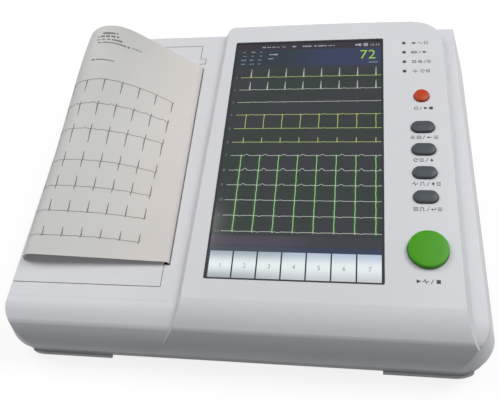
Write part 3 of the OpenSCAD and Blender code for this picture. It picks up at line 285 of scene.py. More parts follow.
# %% [markdown]
# ## Metals, rubber and boards
# Rolled, turned and drawn metal carries a fine grain that runs one way. It is noise stretched
# along Y, which is how most of these parts lie, and it feeds the colour, the roughness and the
# bump. Screws and pressed shells have no such grain.

# %% Metals
def metal(name, colour, roughness, stretch=None):
    """Bare metal with fine streaks."""
    finish = Finish(name, roughness, 1.0)
    streaks = finish.noise(900, 2, stretch)
    finish.set("Base Color", finish.mix(streaks, shade(colour, 0.86), colour))
    finish.set("Roughness", streaks * 0.18 + (roughness - 0.09))
    finish.relief(streaks, 0.006 * MM, 0.2 * MM)
    return finish


sheet_steel = metal("zinc_sheet", tone(196, 199, 204), 0.42, (1, 0.06, 1))
turned_steel = metal("turned_steel", tone(206, 208, 212), 0.26, (1, 0.1, 1))
screw_steel = metal("screw_steel", tone(188, 190, 194), 0.32)
brass = metal("turned_brass", tone(214, 178, 92), 0.28, (1, 0.1, 1))
aluminium = metal("extruded_aluminium", tone(205, 208, 212), 0.38, (1, 0.04, 1))
shell_steel = metal("connector_shell", tone(190, 193, 198), 0.3)
print("metals written")

# %% Rubber and circuit board
PAD, PAD_PITCH = 1.2 * MM, 5.1 * MM


def rubber(name, colour, roughness):
    """Dull rubber with a little dust on it."""
    finish = Finish(name, roughness)
    dust = finish.noise(60, 4)
    finish.set("Base Color", finish.mix(dust.ramp(0.5, 0.75) * 0.35, colour, tone(96, 94, 90)))
    finish.relief(finish.noise(1500, 2), 0.03 * MM, 0.4 * MM)
    return finish


def board(name):
    """Green solder mask with lighter copper tracks under it and small pads."""
    finish = Finish(name, 0.35)
    place = finish.object_place()
    x, y, _ = finish.split(place)
    cells = finish.node("ShaderNodeTexVoronoi", {"feature": "DISTANCE_TO_EDGE"},
                        {"Vector": place, "Scale": 170})
    track = Value(finish, cells.outputs["Distance"]) < 0.06
    pads = ((x % PAD_PITCH) < PAD) * ((y % PAD_PITCH) < PAD)
    green = finish.mix(track * 0.5, tone(18, 92, 52), tone(62, 148, 92))
    finish.set("Base Color", finish.mix(pads, green, tone(196, 190, 160)))
    finish.relief(track, 0.02 * MM, 0.2 * MM)
    return finish


foot_rubber = rubber("foot_rubber", tone(44, 44, 46), 0.8)
platen_rubber = rubber("platen_rubber", tone(58, 58, 60), 0.62)
board_green = board("circuit_board")
print("rubbers and circuit board written")

# %% [markdown]
# ## Light pipes
# The four indicators are short rods of smoked plastic. Unlit, they look like small dark beads
# with a wet shine, a little cloudy where the smoke in the plastic is thinner.

# %% Light pipes
light_pipe = Finish("light_pipe", 0.15)
smoke = light_pipe.noise(300, 1)
light_pipe.set("Base Color", light_pipe.mix(smoke, tone(52, 56, 60), tone(98, 104, 110)))
light_pipe.set("Coat Weight", 0.3)
light_pipe.relief(light_pipe.noise(400, 1), 0.01 * MM, 0.3 * MM)
print("light pipes written")

# %% [markdown]
# ## The lit picture behind the glass
# A display gives its own light, so the picture goes into Emission Color and the base stays
# nearly black. Flat zones, such as the header and the row of soft keys, are written as masks on
# the surface's own coordinates: across the screen, and up the slope. Curves and numbers come
# later as thin shapes of their own, because a mask can't keep a steep line the same width.

# %% Screen picture, with heights up the slope from the screen's centre
SCREEN_TOP, STATUS_LOW, HEADER_LOW = 116 * MM, 115.2 * MM, 94 * MM
FOOTER_TOP, FOOTER_LOW, RAIL_TOP = -86 * MM, -95.5 * MM, -95.9 * MM
TAB_TOP, TAB_LOW, TAB_LEFT, TAB_RIGHT = -100.4 * MM, -124.5 * MM, -68.7 * MM, 69.3 * MM
TAB_PITCH = 19.73 * MM
picture = Finish("screen_picture", 0.12)
px, py, pz = picture.split(picture.object_place())
across = px - SCREEN_X
centre = on_console(SCREEN_X, SCREEN_Y).translation
slope = (py - centre.y) * math.cos(LEAN) + (pz - centre.z) * math.sin(LEAN)


def band(value, low, high, soft=0.2 * MM):
    """1 from low to high and 0 beyond, with soft ends."""
    return value.ramp(low - soft, low + soft) * (1 - value.ramp(high - soft, high + soft))


def sideways(left, right, left_tone, right_tone):
    """A colour that turns from one tone to the other across the screen, in millimetres."""
    return picture.mix(across.ramp(left * MM, right * MM), tone(*left_tone), tone(*right_tone))


field = picture.mix(picture.noise(38, 3).ramp(0.42, 0.6), tone(58, 67, 63), tone(64, 65, 70))
header = sideways(-30, 30, (54, 63, 70), (60, 70, 98))
footer = sideways(-20, 30, (84, 79, 90), (66, 70, 75))
rail = sideways(-20, 20, (75, 82, 93), (60, 71, 92))
field = picture.mix(band(slope, HEADER_LOW, SCREEN_TOP, 4 * MM), field, header)
field = picture.mix(slope.ramp(STATUS_LOW, SCREEN_TOP), field, tone(62, 56, 64))
field = picture.mix(band(slope, FOOTER_LOW, FOOTER_TOP, 2 * MM), field, footer)
field = picture.mix(1 - slope.ramp(RAIL_TOP - 0.6 * MM, RAIL_TOP + 0.6 * MM), field, rail)

# %% Soft keys along the foot of the screen
shine = (slope - TAB_LOW) / (TAB_TOP - TAB_LOW)
foot = sideways(-60, 20, (168, 178, 182), (206, 211, 215))
crown = sideways(-30, 20, (168, 182, 190), (192, 206, 226))
tab = picture.mix(shine.ramp(0.0, 0.5), foot, tone(240, 248, 250))
tab = picture.mix(shine.ramp(0.55, 1.0), tab, crown)
from_middle = abs(((across - TAB_LEFT) % TAB_PITCH) / TAB_PITCH - 0.5)
in_face = 1 - from_middle.ramp(0.465, 0.475)
in_tabs = band(slope, TAB_LOW, TAB_TOP) * band(across, TAB_LEFT, TAB_RIGHT)
field = picture.mix(in_tabs, field, tone(50, 55, 66))
picture.set("Emission Color", picture.mix(in_tabs * in_face, field, tab))
picture.set("Emission Strength", 0.9)
picture.set("Base Color", tone(14, 15, 18))
picture.set("Specular IOR Level", 0.3)
picture.set("Coat Weight", 0.2)
picture.set("Coat Roughness", 0.08)
picture.relief(picture.noise(900, 1), 0.002 * MM)
print("screen picture has", len(picture.tree.nodes), "shader nodes")

# %% Inks and lit colours
def lit_colour(name, colour, strength=0.9):
    """A lit line or number, not quite even."""
    finish = Finish(name, 0.3)
    glow = finish.noise(120, 2)
    finish.set("Base Color", tone(12, 12, 12))
    finish.set("Emission Color", finish.mix(glow, shade(colour, 0.82), colour))
    finish.set("Emission Strength", strength)
    return finish


def ink(name, colour, roughness):
    """Print that is a little thinner in places."""
    finish = Finish(name, roughness)
    fade = finish.noise(900, 2)
    thin = tuple(min(1, part + 0.05) for part in colour[:3]) + (1,)
    finish.set("Base Color", finish.mix(fade.ramp(0.3, 0.8) * 0.4, colour, thin))
    return finish


trace_white = lit_colour("trace_white", tone(186, 194, 182))
trace_yellow = lit_colour("trace_yellow", tone(188, 200, 118))
trace_green = lit_colour("trace_green", tone(176, 214, 164))
trace_glow = lit_colour("trace_glow", tone(46, 80, 48))
number_green = lit_colour("number_green", tone(176, 226, 70), 1.0)
mark_white = lit_colour("mark_white", tone(186, 192, 206))
mark_dim = lit_colour("mark_dim", tone(150, 153, 160))
tab_ink = lit_colour("tab_ink", tone(112, 124, 134))
print_ink = ink("printed_grey", tone(66, 67, 72), 0.7)
paper_ink = ink("thermal_print", tone(132, 120, 122), 0.8)
heading_ink = ink("thermal_heading", tone(84, 82, 84), 0.8)
print("lit colours and inks written")

# %% [markdown]
# ## Chart paper
# Thermal chart paper is thin and faintly glossy, with a pale pink grid of 1 mm squares and
# stronger lines every 5 mm. The pattern follows the sheet as it bends, so it reads the sheet's
# own UV map, whose numbers here are real metres across and along the paper. A thin sheet also
# lets some light through, which keeps its underside from going dark.

# %% Paper finishes
def chart_paper(name, colour_on):
    """Paper with the colour that colour_on(finish) gives, a little cloudy, with a fine tooth."""
    finish = Finish(name, 0.62)
    cloud = finish.noise(14, 3).ramp(0.4, 0.7) * 0.12
    finish.set("Base Color", finish.mix(cloud, colour_on(finish), tone(212, 212, 202)))
    finish.relief(finish.noise(1400, 3), 0.01 * MM)
    return finish


def ruled(place, pitch, half):
    """Up to 1 on lines one pitch apart that reach half to each side, and 0 between them."""
    return abs((place % pitch) - pitch / 2).ramp(pitch / 2 - half, pitch / 2)


def squared(finish):
    """Pink squares on a ground that is warmer near the slot."""
    spot = finish.node("ShaderNodeUVMap", {"uv_map": "flat"}).outputs["UV"]
    wide, long, _ = finish.split(spot)
    fine = ruled(wide, 1 * MM, 0.08 * MM) + ruled(long, 1 * MM, 0.08 * MM)
    bold = ruled(wide, 5 * MM, 0.14 * MM) + ruled(long, 5 * MM, 0.14 * MM)
    warmth = long.ramp(30 * MM, 110 * MM)
    ground = finish.mix(warmth, tone(248, 243, 239), tone(242, 244, 241))
    return finish.mix(fine * 0.10 + bold * 0.20, ground, tone(246, 204, 206))


def rolled_up(finish):
    """The plain back of the paper, as it shows on the roll."""
    return finish.mix(finish.noise(30, 3), tone(222, 218, 212), tone(232, 228, 222))


roll_paper = chart_paper("chart_paper_roll", rolled_up)
sheet_paper = chart_paper("chart_paper_sheet", squared)
through = sheet_paper.node("ShaderNodeBsdfTranslucent", {}, {"Color": tone(244, 240, 236)})
sheet_paper.show(sheet_paper.node("ShaderNodeMixShader", {}, {
    0: 0.3, 1: sheet_paper.shader.outputs[0], 2: through.outputs[0]}))
print("paper finishes written")

# %% [markdown]
# ## Dressing the solid parts
# A solid part keeps its shape and only gets a material, apart from the keys, the springs and
# the paper, which finer pieces replace further on. The table reads like a shopping list:
# finish first, then the parts that wear it.

# %% Give every solid part its finish
dress = [
    (housing, ["upper_casing", "printer_door"]),
    (base, ["lower_casing", "battery_cover"]),
    (picture, ["display_glass"]),
    (dark_plastic, ["display_gasket", "key_switches", "mains_inlet", "rocker_frame"]),
    (panel_plastic, ["rear_panel"]),
    (tray_plastic, ["paper_tray"]),
    (sheet_steel, ["display_module", "display_bracket", "gear_plate", "head_bracket"]),
    (board_green, ["keypad_board", "main_board", "power_supply"]),
    (light_pipe, ["led_pipes"]),
    (turned_steel, ["hinge_pins", "platen_shaft", "feed_motor", "tear_bar", "head_springs"]),
    (screw_steel, ["case_screws", "cover_screws", "panel_screws", "patient_jackscrews"]),
    (bush_black, ["platen_bushes"]),
    (speaker_paper, ["speaker"]),
    (platen_rubber, ["platen_roller"]),
    (gear_white, ["platen_gear", "idler_gear"]),
    (brass, ["motor_pinion", "equipotential_stud", "stud_nut"]),
    (ceramic, ["print_head"]),
    (aluminium, ["head_heatsink"]),
    (roll_paper, ["paper_roll"]),
    (cardboard, ["roll_core"]),
    (spindle_blue, ["roll_spindle"]),
    (sleeve_blue, ["battery_pack"]),
    (rocker_red, ["rocker_switch"]),
    (shell_steel, ["usb_sockets", "network_socket", "patient_socket"]),
    (foot_rubber, ["rubber_feet"]),
    (orange_key, ["power_key"]),
    (grey_key, ["grey_key_1", "grey_key_2", "grey_key_3", "grey_key_4"]),
    (green_key, ["start_key"]),
    (sheet_paper, ["paper_sheet"]),
]
for finish, names in dress:
    for name in names:
        node = nodes[name]
        if not node.material_slots:
            node.data.materials.append(finish.material)
        for slot in node.material_slots:
            slot.material = finish.material
bare = set(nodes) - {name for _, names in dress for name in names}
print("parts without a finish:", sorted(bare))

# %% [markdown]
# ## Small modelling helpers
# Operators in Blender act on whatever is selected, so each piece starts from an empty
# selection. `finished` bakes a piece's place into its mesh, which leaves its object at the
# origin, unturned and unscaled.

# %% Helpers for making pieces
def select_only(piece=None):
    """Selects one piece, or nothing at all."""
    bpy.ops.object.select_all(action="DESELECT")
    bpy.context.view_layer.objects.active = piece
    if piece:
        piece.select_set(True)


def finished(piece, name, place, finish):
    """Names, places and paints a piece, and shades it smooth but for its sharp edges."""
    piece.name = piece.data.name = name
    piece.data.transform(place)
    piece.data.materials.clear()
    piece.data.materials.append(finish.material)
    select_only(piece)
    bpy.ops.object.shade_smooth_by_angle(angle=math.radians(38))
    return piece


def pick(piece, test):
    """In edit mode, selects the faces for which test(face) is true."""
    mesh = bmesh.from_edit_mesh(piece.data)
    for face in mesh.faces:
        face.select = bool(test(face))
    mesh.select_flush_mode()
    bmesh.update_edit_mesh(piece.data)


print("helpers ready")

# %% [markdown]
# ## Keys
# A key cap is a short plug with a crowned top and a soft edge. It could be revolved, but four
# of the six are pills, so each starts as a cylinder. The two halves of a pill are slid apart,
# the top is inset and lifted in steps for the crown, and a Bevel modifier rounds the edge that
# the finger meets.

# %% Make one key cap
KEY_X = 150.5 * MM
CAP_SIDES, CAP_SKIRT = 64, 1.5 * MM


def key_cap(name, node, finish, y, length, width, height, crown, soft):
    """A cap that stands for the CAD key of that name, y up the console, all in metres."""
    body = f"{node}_body"
    select_only()
    bpy.ops.mesh.primitive_cylinder_add(vertices=CAP_SIDES, radius=width / 2,
                                        depth=height + CAP_SKIRT,
                                        location=(0, 0, (height - CAP_SKIRT) / 2))
    cap = bpy.context.object
    bpy.ops.object.transform_apply(location=True, rotation=True, scale=True)
    bpy.ops.object.mode_set(mode="EDIT")
    bpy.ops.mesh.select_mode(type="VERT")
    bpy.ops.mesh.select_all(action="SELECT")
    bpy.ops.transform.rotate(value=math.pi / CAP_SIDES, orient_axis="Z",
                             center_override=(0, 0, 0))
    if length > width:
        for side in (-1, 1):
            mesh = bmesh.from_edit_mesh(cap.data)
            for vert in mesh.verts:
                vert.select = vert.co.x * side > 0
            mesh.select_flush_mode()
            bpy.ops.transform.translate(value=(side * (length - width) / 2, 0, 0))
    bpy.ops.mesh.select_mode(type="FACE")
    pick(cap, lambda face: face.normal.z > 0.9)
    for share in (0.55, 0.3, 0.15):
        bpy.ops.mesh.inset(thickness=width * 0.16)
        bpy.ops.transform.translate(value=(0, 0, crown * share))
    bpy.ops.object.mode_set(mode="OBJECT")
    rounder = cap.modifiers.new("edge", "BEVEL")
    rounder.width, rounder.segments = soft, 5
    rounder.limit_method, rounder.angle_limit = "ANGLE", math.radians(40)
    bpy.ops.object.modifier_apply(modifier="edge")
    finished(cap, name, on_console(KEY_X, y), finish)
    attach(cap, body)
    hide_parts(node)
    return cap


# %% The six keys
GREY_KEYS = [(f"grey_cap_{number + 1}", f"grey_key_{number + 1}", grey_key,
              (36 - 23.1 * number, 19.6, 11.5, 2.2, 0.6, 0.9)) for number in range(4)]
KEYS = [  # cap, node, finish, then up the slope, length, width, height, crown and edge in mm
    ("power_cap", "power_key", orange_key, (70, 13, 13, 2.1, 0.8, 0.8)),
    *GREY_KEYS,
    ("start_cap", "start_key", green_key, (-80.5, 31, 31, 4.3, 0.3, 0.7)),
]
caps = [key_cap(name, node, finish, *(size * MM for size in sizes))
        for name, node, finish, sizes in KEYS]
print("key caps:", [cap.name for cap in caps])

# %% [markdown]
# ## Flat marks
# Printed and lit marks are thin flat shapes that lie a hair above a surface. Each is a list of
# corners in flat numbers, and a `place` function carries them to the real surface, flat or
# curved. Long lines are cut into short quads, so that they follow a curve.

# %% Flat shapes in millimetres
def bar(x, y, wide, high):
    """A filled upright rectangle round x, y."""
    return [(x - wide / 2, y - high / 2), (x + wide / 2, y - high / 2),
            (x + wide / 2, y + high / 2), (x - wide / 2, y + high / 2)]


def arrow(x, y, size, turn):
    """A filled triangle that points along turn, in degrees from +X."""
    spots = []
    for angle in (0, 130, 230):
        way = math.radians(angle + turn)
        spots.append((x + size * math.cos(way), y + size * math.sin(way)))
    return spots


def line(points, width, step=2.5):
    """Quads along a polyline, cut so that none is longer than step. Corners overlap a little."""
    quads, lap = [], width * 0.3
    for (ax, ay), (bx, by) in zip(points, points[1:]):
        span = math.hypot(bx - ax, by - ay)
        tx, ty = (bx - ax) / span, (by - ay) / span
        nx, ny = -ty * width / 2, tx * width / 2
        pieces = math.ceil(span / step)
        for i in range(pieces):
            p = -lap if i == 0 else span * i / pieces
            q = span + lap if i == pieces - 1 else span * (i + 1) / pieces
            quads.append([(ax + tx * run + nx * side, ay + ty * run + ny * side)
                          for run, side in ((p, -1), (q, -1), (q, 1), (p, 1))])
    return quads


def ring(x, y, radius, width, start=0, end=360):
    """A round stroke from one angle to another, in degrees."""
    turns = [math.radians(start + (end - start) * i / 20) for i in range(21)]
    return line([(x + radius * math.cos(turn), y + radius * math.sin(turn)) for turn in turns],
                width)


def dashes(x, y, long, high, seed):
    """A row of short upright blocks, as wide apart as small print, that spells nothing."""
    marks, at = [], 0.0
    while at < long - high * 0.3:
        wide = high * (0.35 + 0.3 * abs(math.sin(seed * 12.9 + at * 7.7)))
        tall = high * (0.75 + 0.25 * math.cos(at * 5 + seed))
        if abs(math.sin(seed * 3.1 + at * 1.9)) > 0.22:
            marks.append(bar(x + at + wide / 2, y, wide, tall))
        at += wide + high * 0.22
    return marks


# %% Make a mesh of flat shapes
def flat_marks(name, shapes, place, finish, body):
    """One piece made of flat shapes, each corner carried to the surface by place(x, y)."""
    mesh = bpy.data.meshes.new(name)
    points, faces = [], []
    for shape in shapes:
        faces.append(list(range(len(points), len(points) + len(shape))))
        points += [place(*spot) for spot in shape]
    mesh.from_pydata(points, [], faces)
    mesh.materials.append(finish.material)
    marks = bpy.data.objects.new(name, mesh)
    bpy.context.scene.collection.objects.link(marks)
    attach(marks, body)
    print(name, "has", len(faces), "faces")
    return marks


def printed_at(x0, y0, lift):
    """Places flat millimetres round a spot that is given in metres, like its lift."""
    matrix = on_console(x0, y0, lift)
    return lambda x, y: matrix @ Vector((x * MM, y * MM, 0))


# %% [markdown]
# ## Marks beside the keys and lamps
# Each key and each indicator lamp has a short row of pictograms: power, list and back, mode
# and up, lead and down, save and enter, and start and stop. Pictograms need no language, and
# each is a few bars, arrows and rings round its own centre.

# %% Pictograms round their own centres
SYMBOLS = {
    "power": ring(0, 0, 1.6, 0.55, 125, 415) + [bar(0, 1.1, 0.55, 1.8)],
    "slash": line([(-0.9, -1.7), (0.9, 1.7)], 0.5),
    "list": [bar(0, k, 3.6, 0.55) for k in (-1.3, 0, 1.3)],
    "back": [arrow(-1.2, 0, 1.4, 180), bar(0.9, 0, 2.6, 0.6)],
    "mode": ring(0, 0, 1.5, 0.55, 20, 320) + [arrow(1.5, 0.6, 1.0, 90)],
    "up": [arrow(0, 0.3, 1.7, 90), bar(0, -1.2, 0.7, 1.2)],
    "down": [arrow(0, -0.3, 1.7, 270), bar(0, 1.2, 0.7, 1.2)],
    "pulse": line([(-2.6, 0), (-1.2, 0), (-0.5, 1.7), (0.3, -1.6), (0.9, 0), (2.4, 0)], 0.52),
    "step": line([(-2, -1.3), (-1.1, -1.3), (-1.1, 1.4), (1.1, 1.4), (1.1, -1.3), (2, -1.3)], 0.52),
    "enter": line([(1.8, 1.5), (1.8, -0.3), (-0.6, -0.3)], 0.52) + [arrow(-1.1, -0.3, 1.3, 180)],
    "start": [arrow(0, 0, 2.1, 0)],
    "stop": [bar(0, 0, 3.1, 3.1)],
    "wave": line([(-1.8, 0), (-1.2, 0.9), (-0.5, 0.6), (0.5, -0.6), (1.2, -0.9), (1.8, 0)], 0.52),
    "plug": [bar(0, 0, 1.7, 2.4), bar(1.5, 0.7, 1.4, 0.5), bar(1.5, -0.7, 1.4, 0.5),
             bar(-1.6, 0, 1.6, 0.5)],
    "cell": line([(-2.2, -1.2), (2, -1.2), (2, 1.2), (-2.2, 1.2), (-2.2, -1.2)], 0.5) + [
        bar(-1, 0, 1.3, 1.3), bar(0.8, 0, 1.1, 1.3), bar(2.6, 0, 0.6, 1.2)],
    "sheet": line([(-1.6, -1.4), (1.6, -1.4), (1.6, 1.4), (-1.6, 1.4), (-1.6, -1.4)], 0.5) + [
        bar(0, 0.45, 1.9, 0.4), bar(0, -0.5, 1.9, 0.4)],
    "roll": ring(0, 0, 1.5, 0.5) + ring(0, 0, 0.6, 0.4) + [bar(1.4, -1.4, 2.2, 0.45)],
}
LABELS = [  # across, up the slope, then pictograms with their places from there
    (143, 133.4, (("plug", 2.4), ("wave", 8.4), ("power", 13.6))),
    (143, 122.0, (("cell", 2.4), ("slash", 7.4), ("plug", 11.6))),
    (143, 110.6, (("sheet", 2.4), ("roll", 7.6), ("slash", 12), ("list", 15.4))),
    (143, 99.2, (("pulse", 3), ("mode", 9.4), ("list", 14.2))),
    (151, 56.8, (("power", -5.4), ("slash", -1.2), ("start", 2.6), ("stop", 7.2))),
    (151, 25.6, (("list", -9.2), ("sheet", -4), ("slash", 0), ("back", 4.6), ("list", 10))),
    (151, 2.4, (("mode", -7.4), ("list", -2.6), ("slash", 1.6), ("up", 5.6))),
    (151, -20.8, (("pulse", -8.6), ("step", -2.8), ("slash", 1.8), ("down", 5.8), ("list", 10))),
    (151, -44.4, (("sheet", -8.8), ("step", -3.8), ("slash", 0.8), ("enter", 5), ("list", 10))),
    (150.5, -106.6, (("start", -8.2), ("pulse", -2.8), ("slash", 2), ("stop", 6.6))),
]
pictograms = [[(x + dx + a, y + b) for a, b in shape] for x, y, row in LABELS
              for name, dx in row for shape in SYMBOLS[name]]
flat_marks("console_pictograms", pictograms, printed_at(0, 0, 0.03 * MM), print_ink, "chassis")

# %% [markdown]
# ## Curves on the screen
# The machine draws twelve rows of heartbeats. Each beat is a small bump, a sharp spike and a
# rounded wave, and every row sees the same beats at another strength. A row is a polyline. Its
# long spikes are shapes of their own, because they waver a little and many have another colour,
# and the green ones have a dim glow round them.

# %% One row of heartbeats
BUMP = ((-4.2, 0), (-3.2, 0.35), (-2.2, 0))  # before the spike, and share of the wave's height
FOOT, TIP_UP, TIP_DOWN = 0.55, -0.15, 0.2
WAVE_START, WAVE_LENGTH, WAVE_STEPS = 2.6, 4.2, 4
WHOLE = 40  # longer than any stroke, so that none is cut


def beats(start, end, first, pitch, up, down, wave, level):
    """Points along a row: up and down are the spike's reach, wave the rounded wave's height."""
    points, at = [(start, level)], first
    while at < end - 0.5:
        if at > start + 4:
            points += [(at + x, level + abs(wave) * share) for x, share in BUMP]
        if at > start:
            points += [(at - FOOT, level), (at + TIP_UP, level + up),
                       (at + TIP_DOWN, level - down), (at + FOOT, level)]
        for step in range(WAVE_STEPS + 1):
            share = step / WAVE_STEPS
            spot = at + WAVE_START + WAVE_LENGTH * share
            if spot < end:
                points.append((spot, level + wave * math.sin(math.pi * share)))
        at += pitch
    points.append((end, level))
    return points


def spike(x, level, reach, number, width):
    """A fast upstroke or a deep downstroke. Short ones taper, long ones waver a little."""
    if number < 2:
        return [[(x - 0.75, level), (x + 0.75, level),
                 (x + 0.3, level + reach), (x - 0.1, level + reach)]]
    cuts = [(x + 0.16 * math.sin(number * 2.3 + x * 0.7 + k * 2.1), level + reach * k / 4)
            for k in range(5)]
    return line(cuts, width, WHOLE)


# %% Twelve rows
ROWS = [  # level, spike up, spike down, wave, colour of the row, colour of its spikes
    (81.3, 10.4, 0.3, 0.5, "yellow", "white"), (66.4, 9.6, 0.4, 0.5, "white", "white"),
    (51.6, 0.4, 0.3, 0.3, "white", None), (37.0, 0.6, 14.9, 0.5, "yellow", "yellow"),
    (21.7, 0.3, 0.2, 0.2, "yellow", None), (6.7, 4.8, 0.4, 0.3, "yellow", "yellow"),
    (-7.6, 0.8, 15.2, 1.4, "white", "green"), (-22.9, 0.9, 14.9, 2.2, "white", "green"),
    (-37.8, 0.7, 14.9, 1.3, "white", "green"), (-52.7, 0.5, 14.8, 0.4, "white", "green"),
    (-67.5, 0.5, 14.8, -0.6, "white", "green"), (-82.3, 0.8, 0.9, -0.5, "white", None)]
ROW_START, ROW_END, BEAT_1, BEAT_PITCH, BEATS = -62.0, 69.0, -52.4, 16.68, 8
ROW_WIDE, SPIKE_WIDE, GLOW_WIDE = 0.56, 0.66, 3.4
LAYERS = [("glow", -0.965, trace_glow), ("white", -0.955, trace_white),
          ("yellow", -0.955, trace_yellow), ("green", -0.945, trace_green)]


def lit_at(lift):
    """Places flat millimetres round the screen's centre, lift millimetres above the console."""
    return printed_at(SCREEN_X, SCREEN_Y, lift * MM)


curves = {name: [] for name, _, _ in LAYERS}
for number, (level, rise, drop, wave, row_colour, spike_colour) in enumerate(ROWS):
    row = beats(ROW_START, ROW_END, BEAT_1, BEAT_PITCH, min(rise, 1), min(drop, 1), wave, level)
    curves[row_colour] += line(row, ROW_WIDE, WHOLE)
    reach = rise if rise > drop else -drop
    for beat in range(BEATS if spike_colour else 0):
        x = BEAT_1 + BEAT_PITCH * beat
        curves[spike_colour] += spike(x, level, reach, number, SPIKE_WIDE)
        if spike_colour == "green":
            curves["glow"] += spike(x, level, reach, number, GLOW_WIDE)
for name, lift, finish in LAYERS:
    flat_marks(f"screen_curves_{name}", curves[name], lit_at(lift), finish, "chassis")

# %% [markdown]
# ## Numbers and small marks on the screen
# The heart rate, the time, and the numbers of the rows and soft keys are text objects turned
# into meshes. Everything else in the header is too small to read, so it is rows of short
# blocks, with a loudspeaker and a battery among them.

# %% Numbers
NUMBER_LIFT, THINNER = -0.94 * MM, -0.011


def digits(name, words, x, y, size, finish):
    """Digits whose lower left corner is at x, y, in millimetres from the screen's centre."""
    select_only()
    bpy.ops.object.text_add(location=(0, 0, 0))
    text = bpy.context.object
    text.data.body, text.data.size = words, size * MM
    text.data.offset = THINNER * size * MM
    bpy.ops.object.convert(target="MESH")
    piece = bpy.context.object
    piece.name = piece.data.name = name
    piece.data.transform(on_console(SCREEN_X, SCREEN_Y, NUMBER_LIFT) @
                         Matrix.Translation((x * MM, y * MM, 0)))
    piece.data.materials.clear()
    piece.data.materials.append(finish.material)
    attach(piece, "chassis")


digits("heart_rate", "72", 49.0, 101.6, 15.5, number_green)
digits("clock", "10:24", 58.6, 117.4, 4.2, mark_white)
for number, (level, *_) in enumerate(ROWS, 1):
    digits(f"row_number_{number:02d}", str(number), -67.2, level - 1.1, 3.6, mark_dim)
for number in range(7):
    digits(f"soft_key_number_{number + 1}", str(number + 1),
           -59.9 + TAB_PITCH / MM * number, -114.8, 5.6, tab_ink)
print("numbers written for", len(ROWS), "rows and the soft keys")

# %% Header marks
PRINT_LIFT = -0.95
STATUS_Y = 119.2
HEADER_TEXT = [  # across, up the slope, length, height, seed
    (-46, STATUS_Y, 24, 1.7, 5), (-15, STATUS_Y, 3.6, 1.7, 6), (-5, STATUS_Y, 31, 1.7, 7),
    (-37, 109.6, 10, 1.9, 8), (-37.6, 104.4, 5, 1.9, 9), (58, 97.2, 8, 1.4, 11)]
LOUDSPEAKER = [bar(46.0, STATUS_Y, 1.5, 2.2), arrow(48.4, STATUS_Y, 2.4, 180),
               bar(50.6, STATUS_Y, 0.5, 3.0)]
BATTERY = line([(53.2, 117.6), (56.6, 117.6), (56.6, 120.8), (53.2, 120.8), (53.2, 117.6)],
               0.6) + [bar(54.9, STATUS_Y, 2.0, 1.8)]
header_marks = LOUDSPEAKER + BATTERY
for across_mm, up_mm, long, high, seed in HEADER_TEXT:
    header_marks += dashes(across_mm, up_mm, long, high, seed)
readings = []
for row in range(4):
    for column in range(3):
        readings += dashes(-64 + 8.2 * column, 113.2 - 5.0 * row, 4.6 - 0.6 * column, 1.6,
                           row * 3 + column)
flat_marks("screen_header", header_marks, lit_at(PRINT_LIFT), mark_white, "chassis")
flat_marks("screen_readings", readings, lit_at(PRINT_LIFT), mark_dim, "chassis")

# %% [markdown]
# ## Head springs
# The print head is pressed on the platen by three springs, each a strip of spring steel rolled
# nearly into a tube and laid on its side. A cylinder without ends is the rolled strip, its top
# faces are deleted for the gap between the ends of the strip, and Solidify gives it its
# thickness. The springs flatten as the head gives way; here the three are joined into one piece.

# %% Roll the springs
ROLL_LONG, ROLL_WALL, ROLL_EDGE, HEAD_TRAVEL = 14 * MM, 0.33 * MM, 0.06 * MM, 0.5 * MM
low, high = (Vector(corner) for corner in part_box("head_springs"))
middle, roll_radius = (low + high) / 2, (high.x - low.x) / 2
spread = high.y - low.y - 2 * roll_radius * math.sin(LEAN)
roll_pitch = (spread / math.cos(LEAN) - ROLL_LONG) / 2
rolls = []
for number in (-1, 0, 1):
    select_only()
    bpy.ops.mesh.primitive_cylinder_add(vertices=36, radius=roll_radius, depth=ROLL_LONG,
                                        end_fill_type="NOTHING",
                                        location=(0, number * roll_pitch, 0),
                                        rotation=(math.radians(90), 0, 0))
    rolls.append(bpy.context.object)
select_only(rolls[0])
for roll in rolls:
    roll.select_set(True)
bpy.ops.object.join()
springs = bpy.context.object
bpy.ops.object.transform_apply(location=True, rotation=True, scale=True)
bpy.ops.object.mode_set(mode="EDIT")
pick(springs, lambda face: face.calc_center_median().z > 0.97 * roll_radius)
bpy.ops.mesh.delete(type="FACE")
bpy.ops.object.mode_set(mode="OBJECT")
wall = springs.modifiers.new("wall", "SOLIDIFY")
wall.thickness, wall.offset = ROLL_WALL, -1.0
worn = springs.modifiers.new("edges", "BEVEL")
worn.width, worn.segments, worn.limit_method = ROLL_EDGE, 2, "ANGLE"
for step in ("wall", "edges"):
    bpy.ops.object.modifier_apply(modifier=step)
finished(springs, "head_spring_rolls",
         Matrix.Translation(middle) @ Matrix.Rotation(LEAN, 4, "X"), turned_steel)
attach(springs, "chassis")
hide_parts("head_springs")
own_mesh(springs)
print("springs:", len(springs.data.polygons), "faces,", round(roll_pitch / MM, 1), "mm apart")

# %% [markdown]
# ## The chart paper
# The paper comes up out of the slot, leans over the door and turns down again, so that it
# rests on the door at the front and arches high at the rear. Its slope changes all the way, so
# the surface is found by walking along the paper in small steps. A thin grid follows that
# surface, and Solidify gives it its thickness.

# %% Shape of the sheet
SHEET_W, SHEET_L, SHEET_THICK = 210.0, 153.5, 0.16
SLOT_X, NIP_DEPTH, LIP_DEPTH, BEND = -59.0, 13.6, 12.6, 8.0
UPRIGHT, HANGING = 98, -74
STEPS, ROWS_ACROSS = 154, 48


def ease(value):
    """0 below 0, 1 above 1, smooth between them."""
    value = min(1.0, max(0.0, value))
    return value * value * (3 - 2 * value)


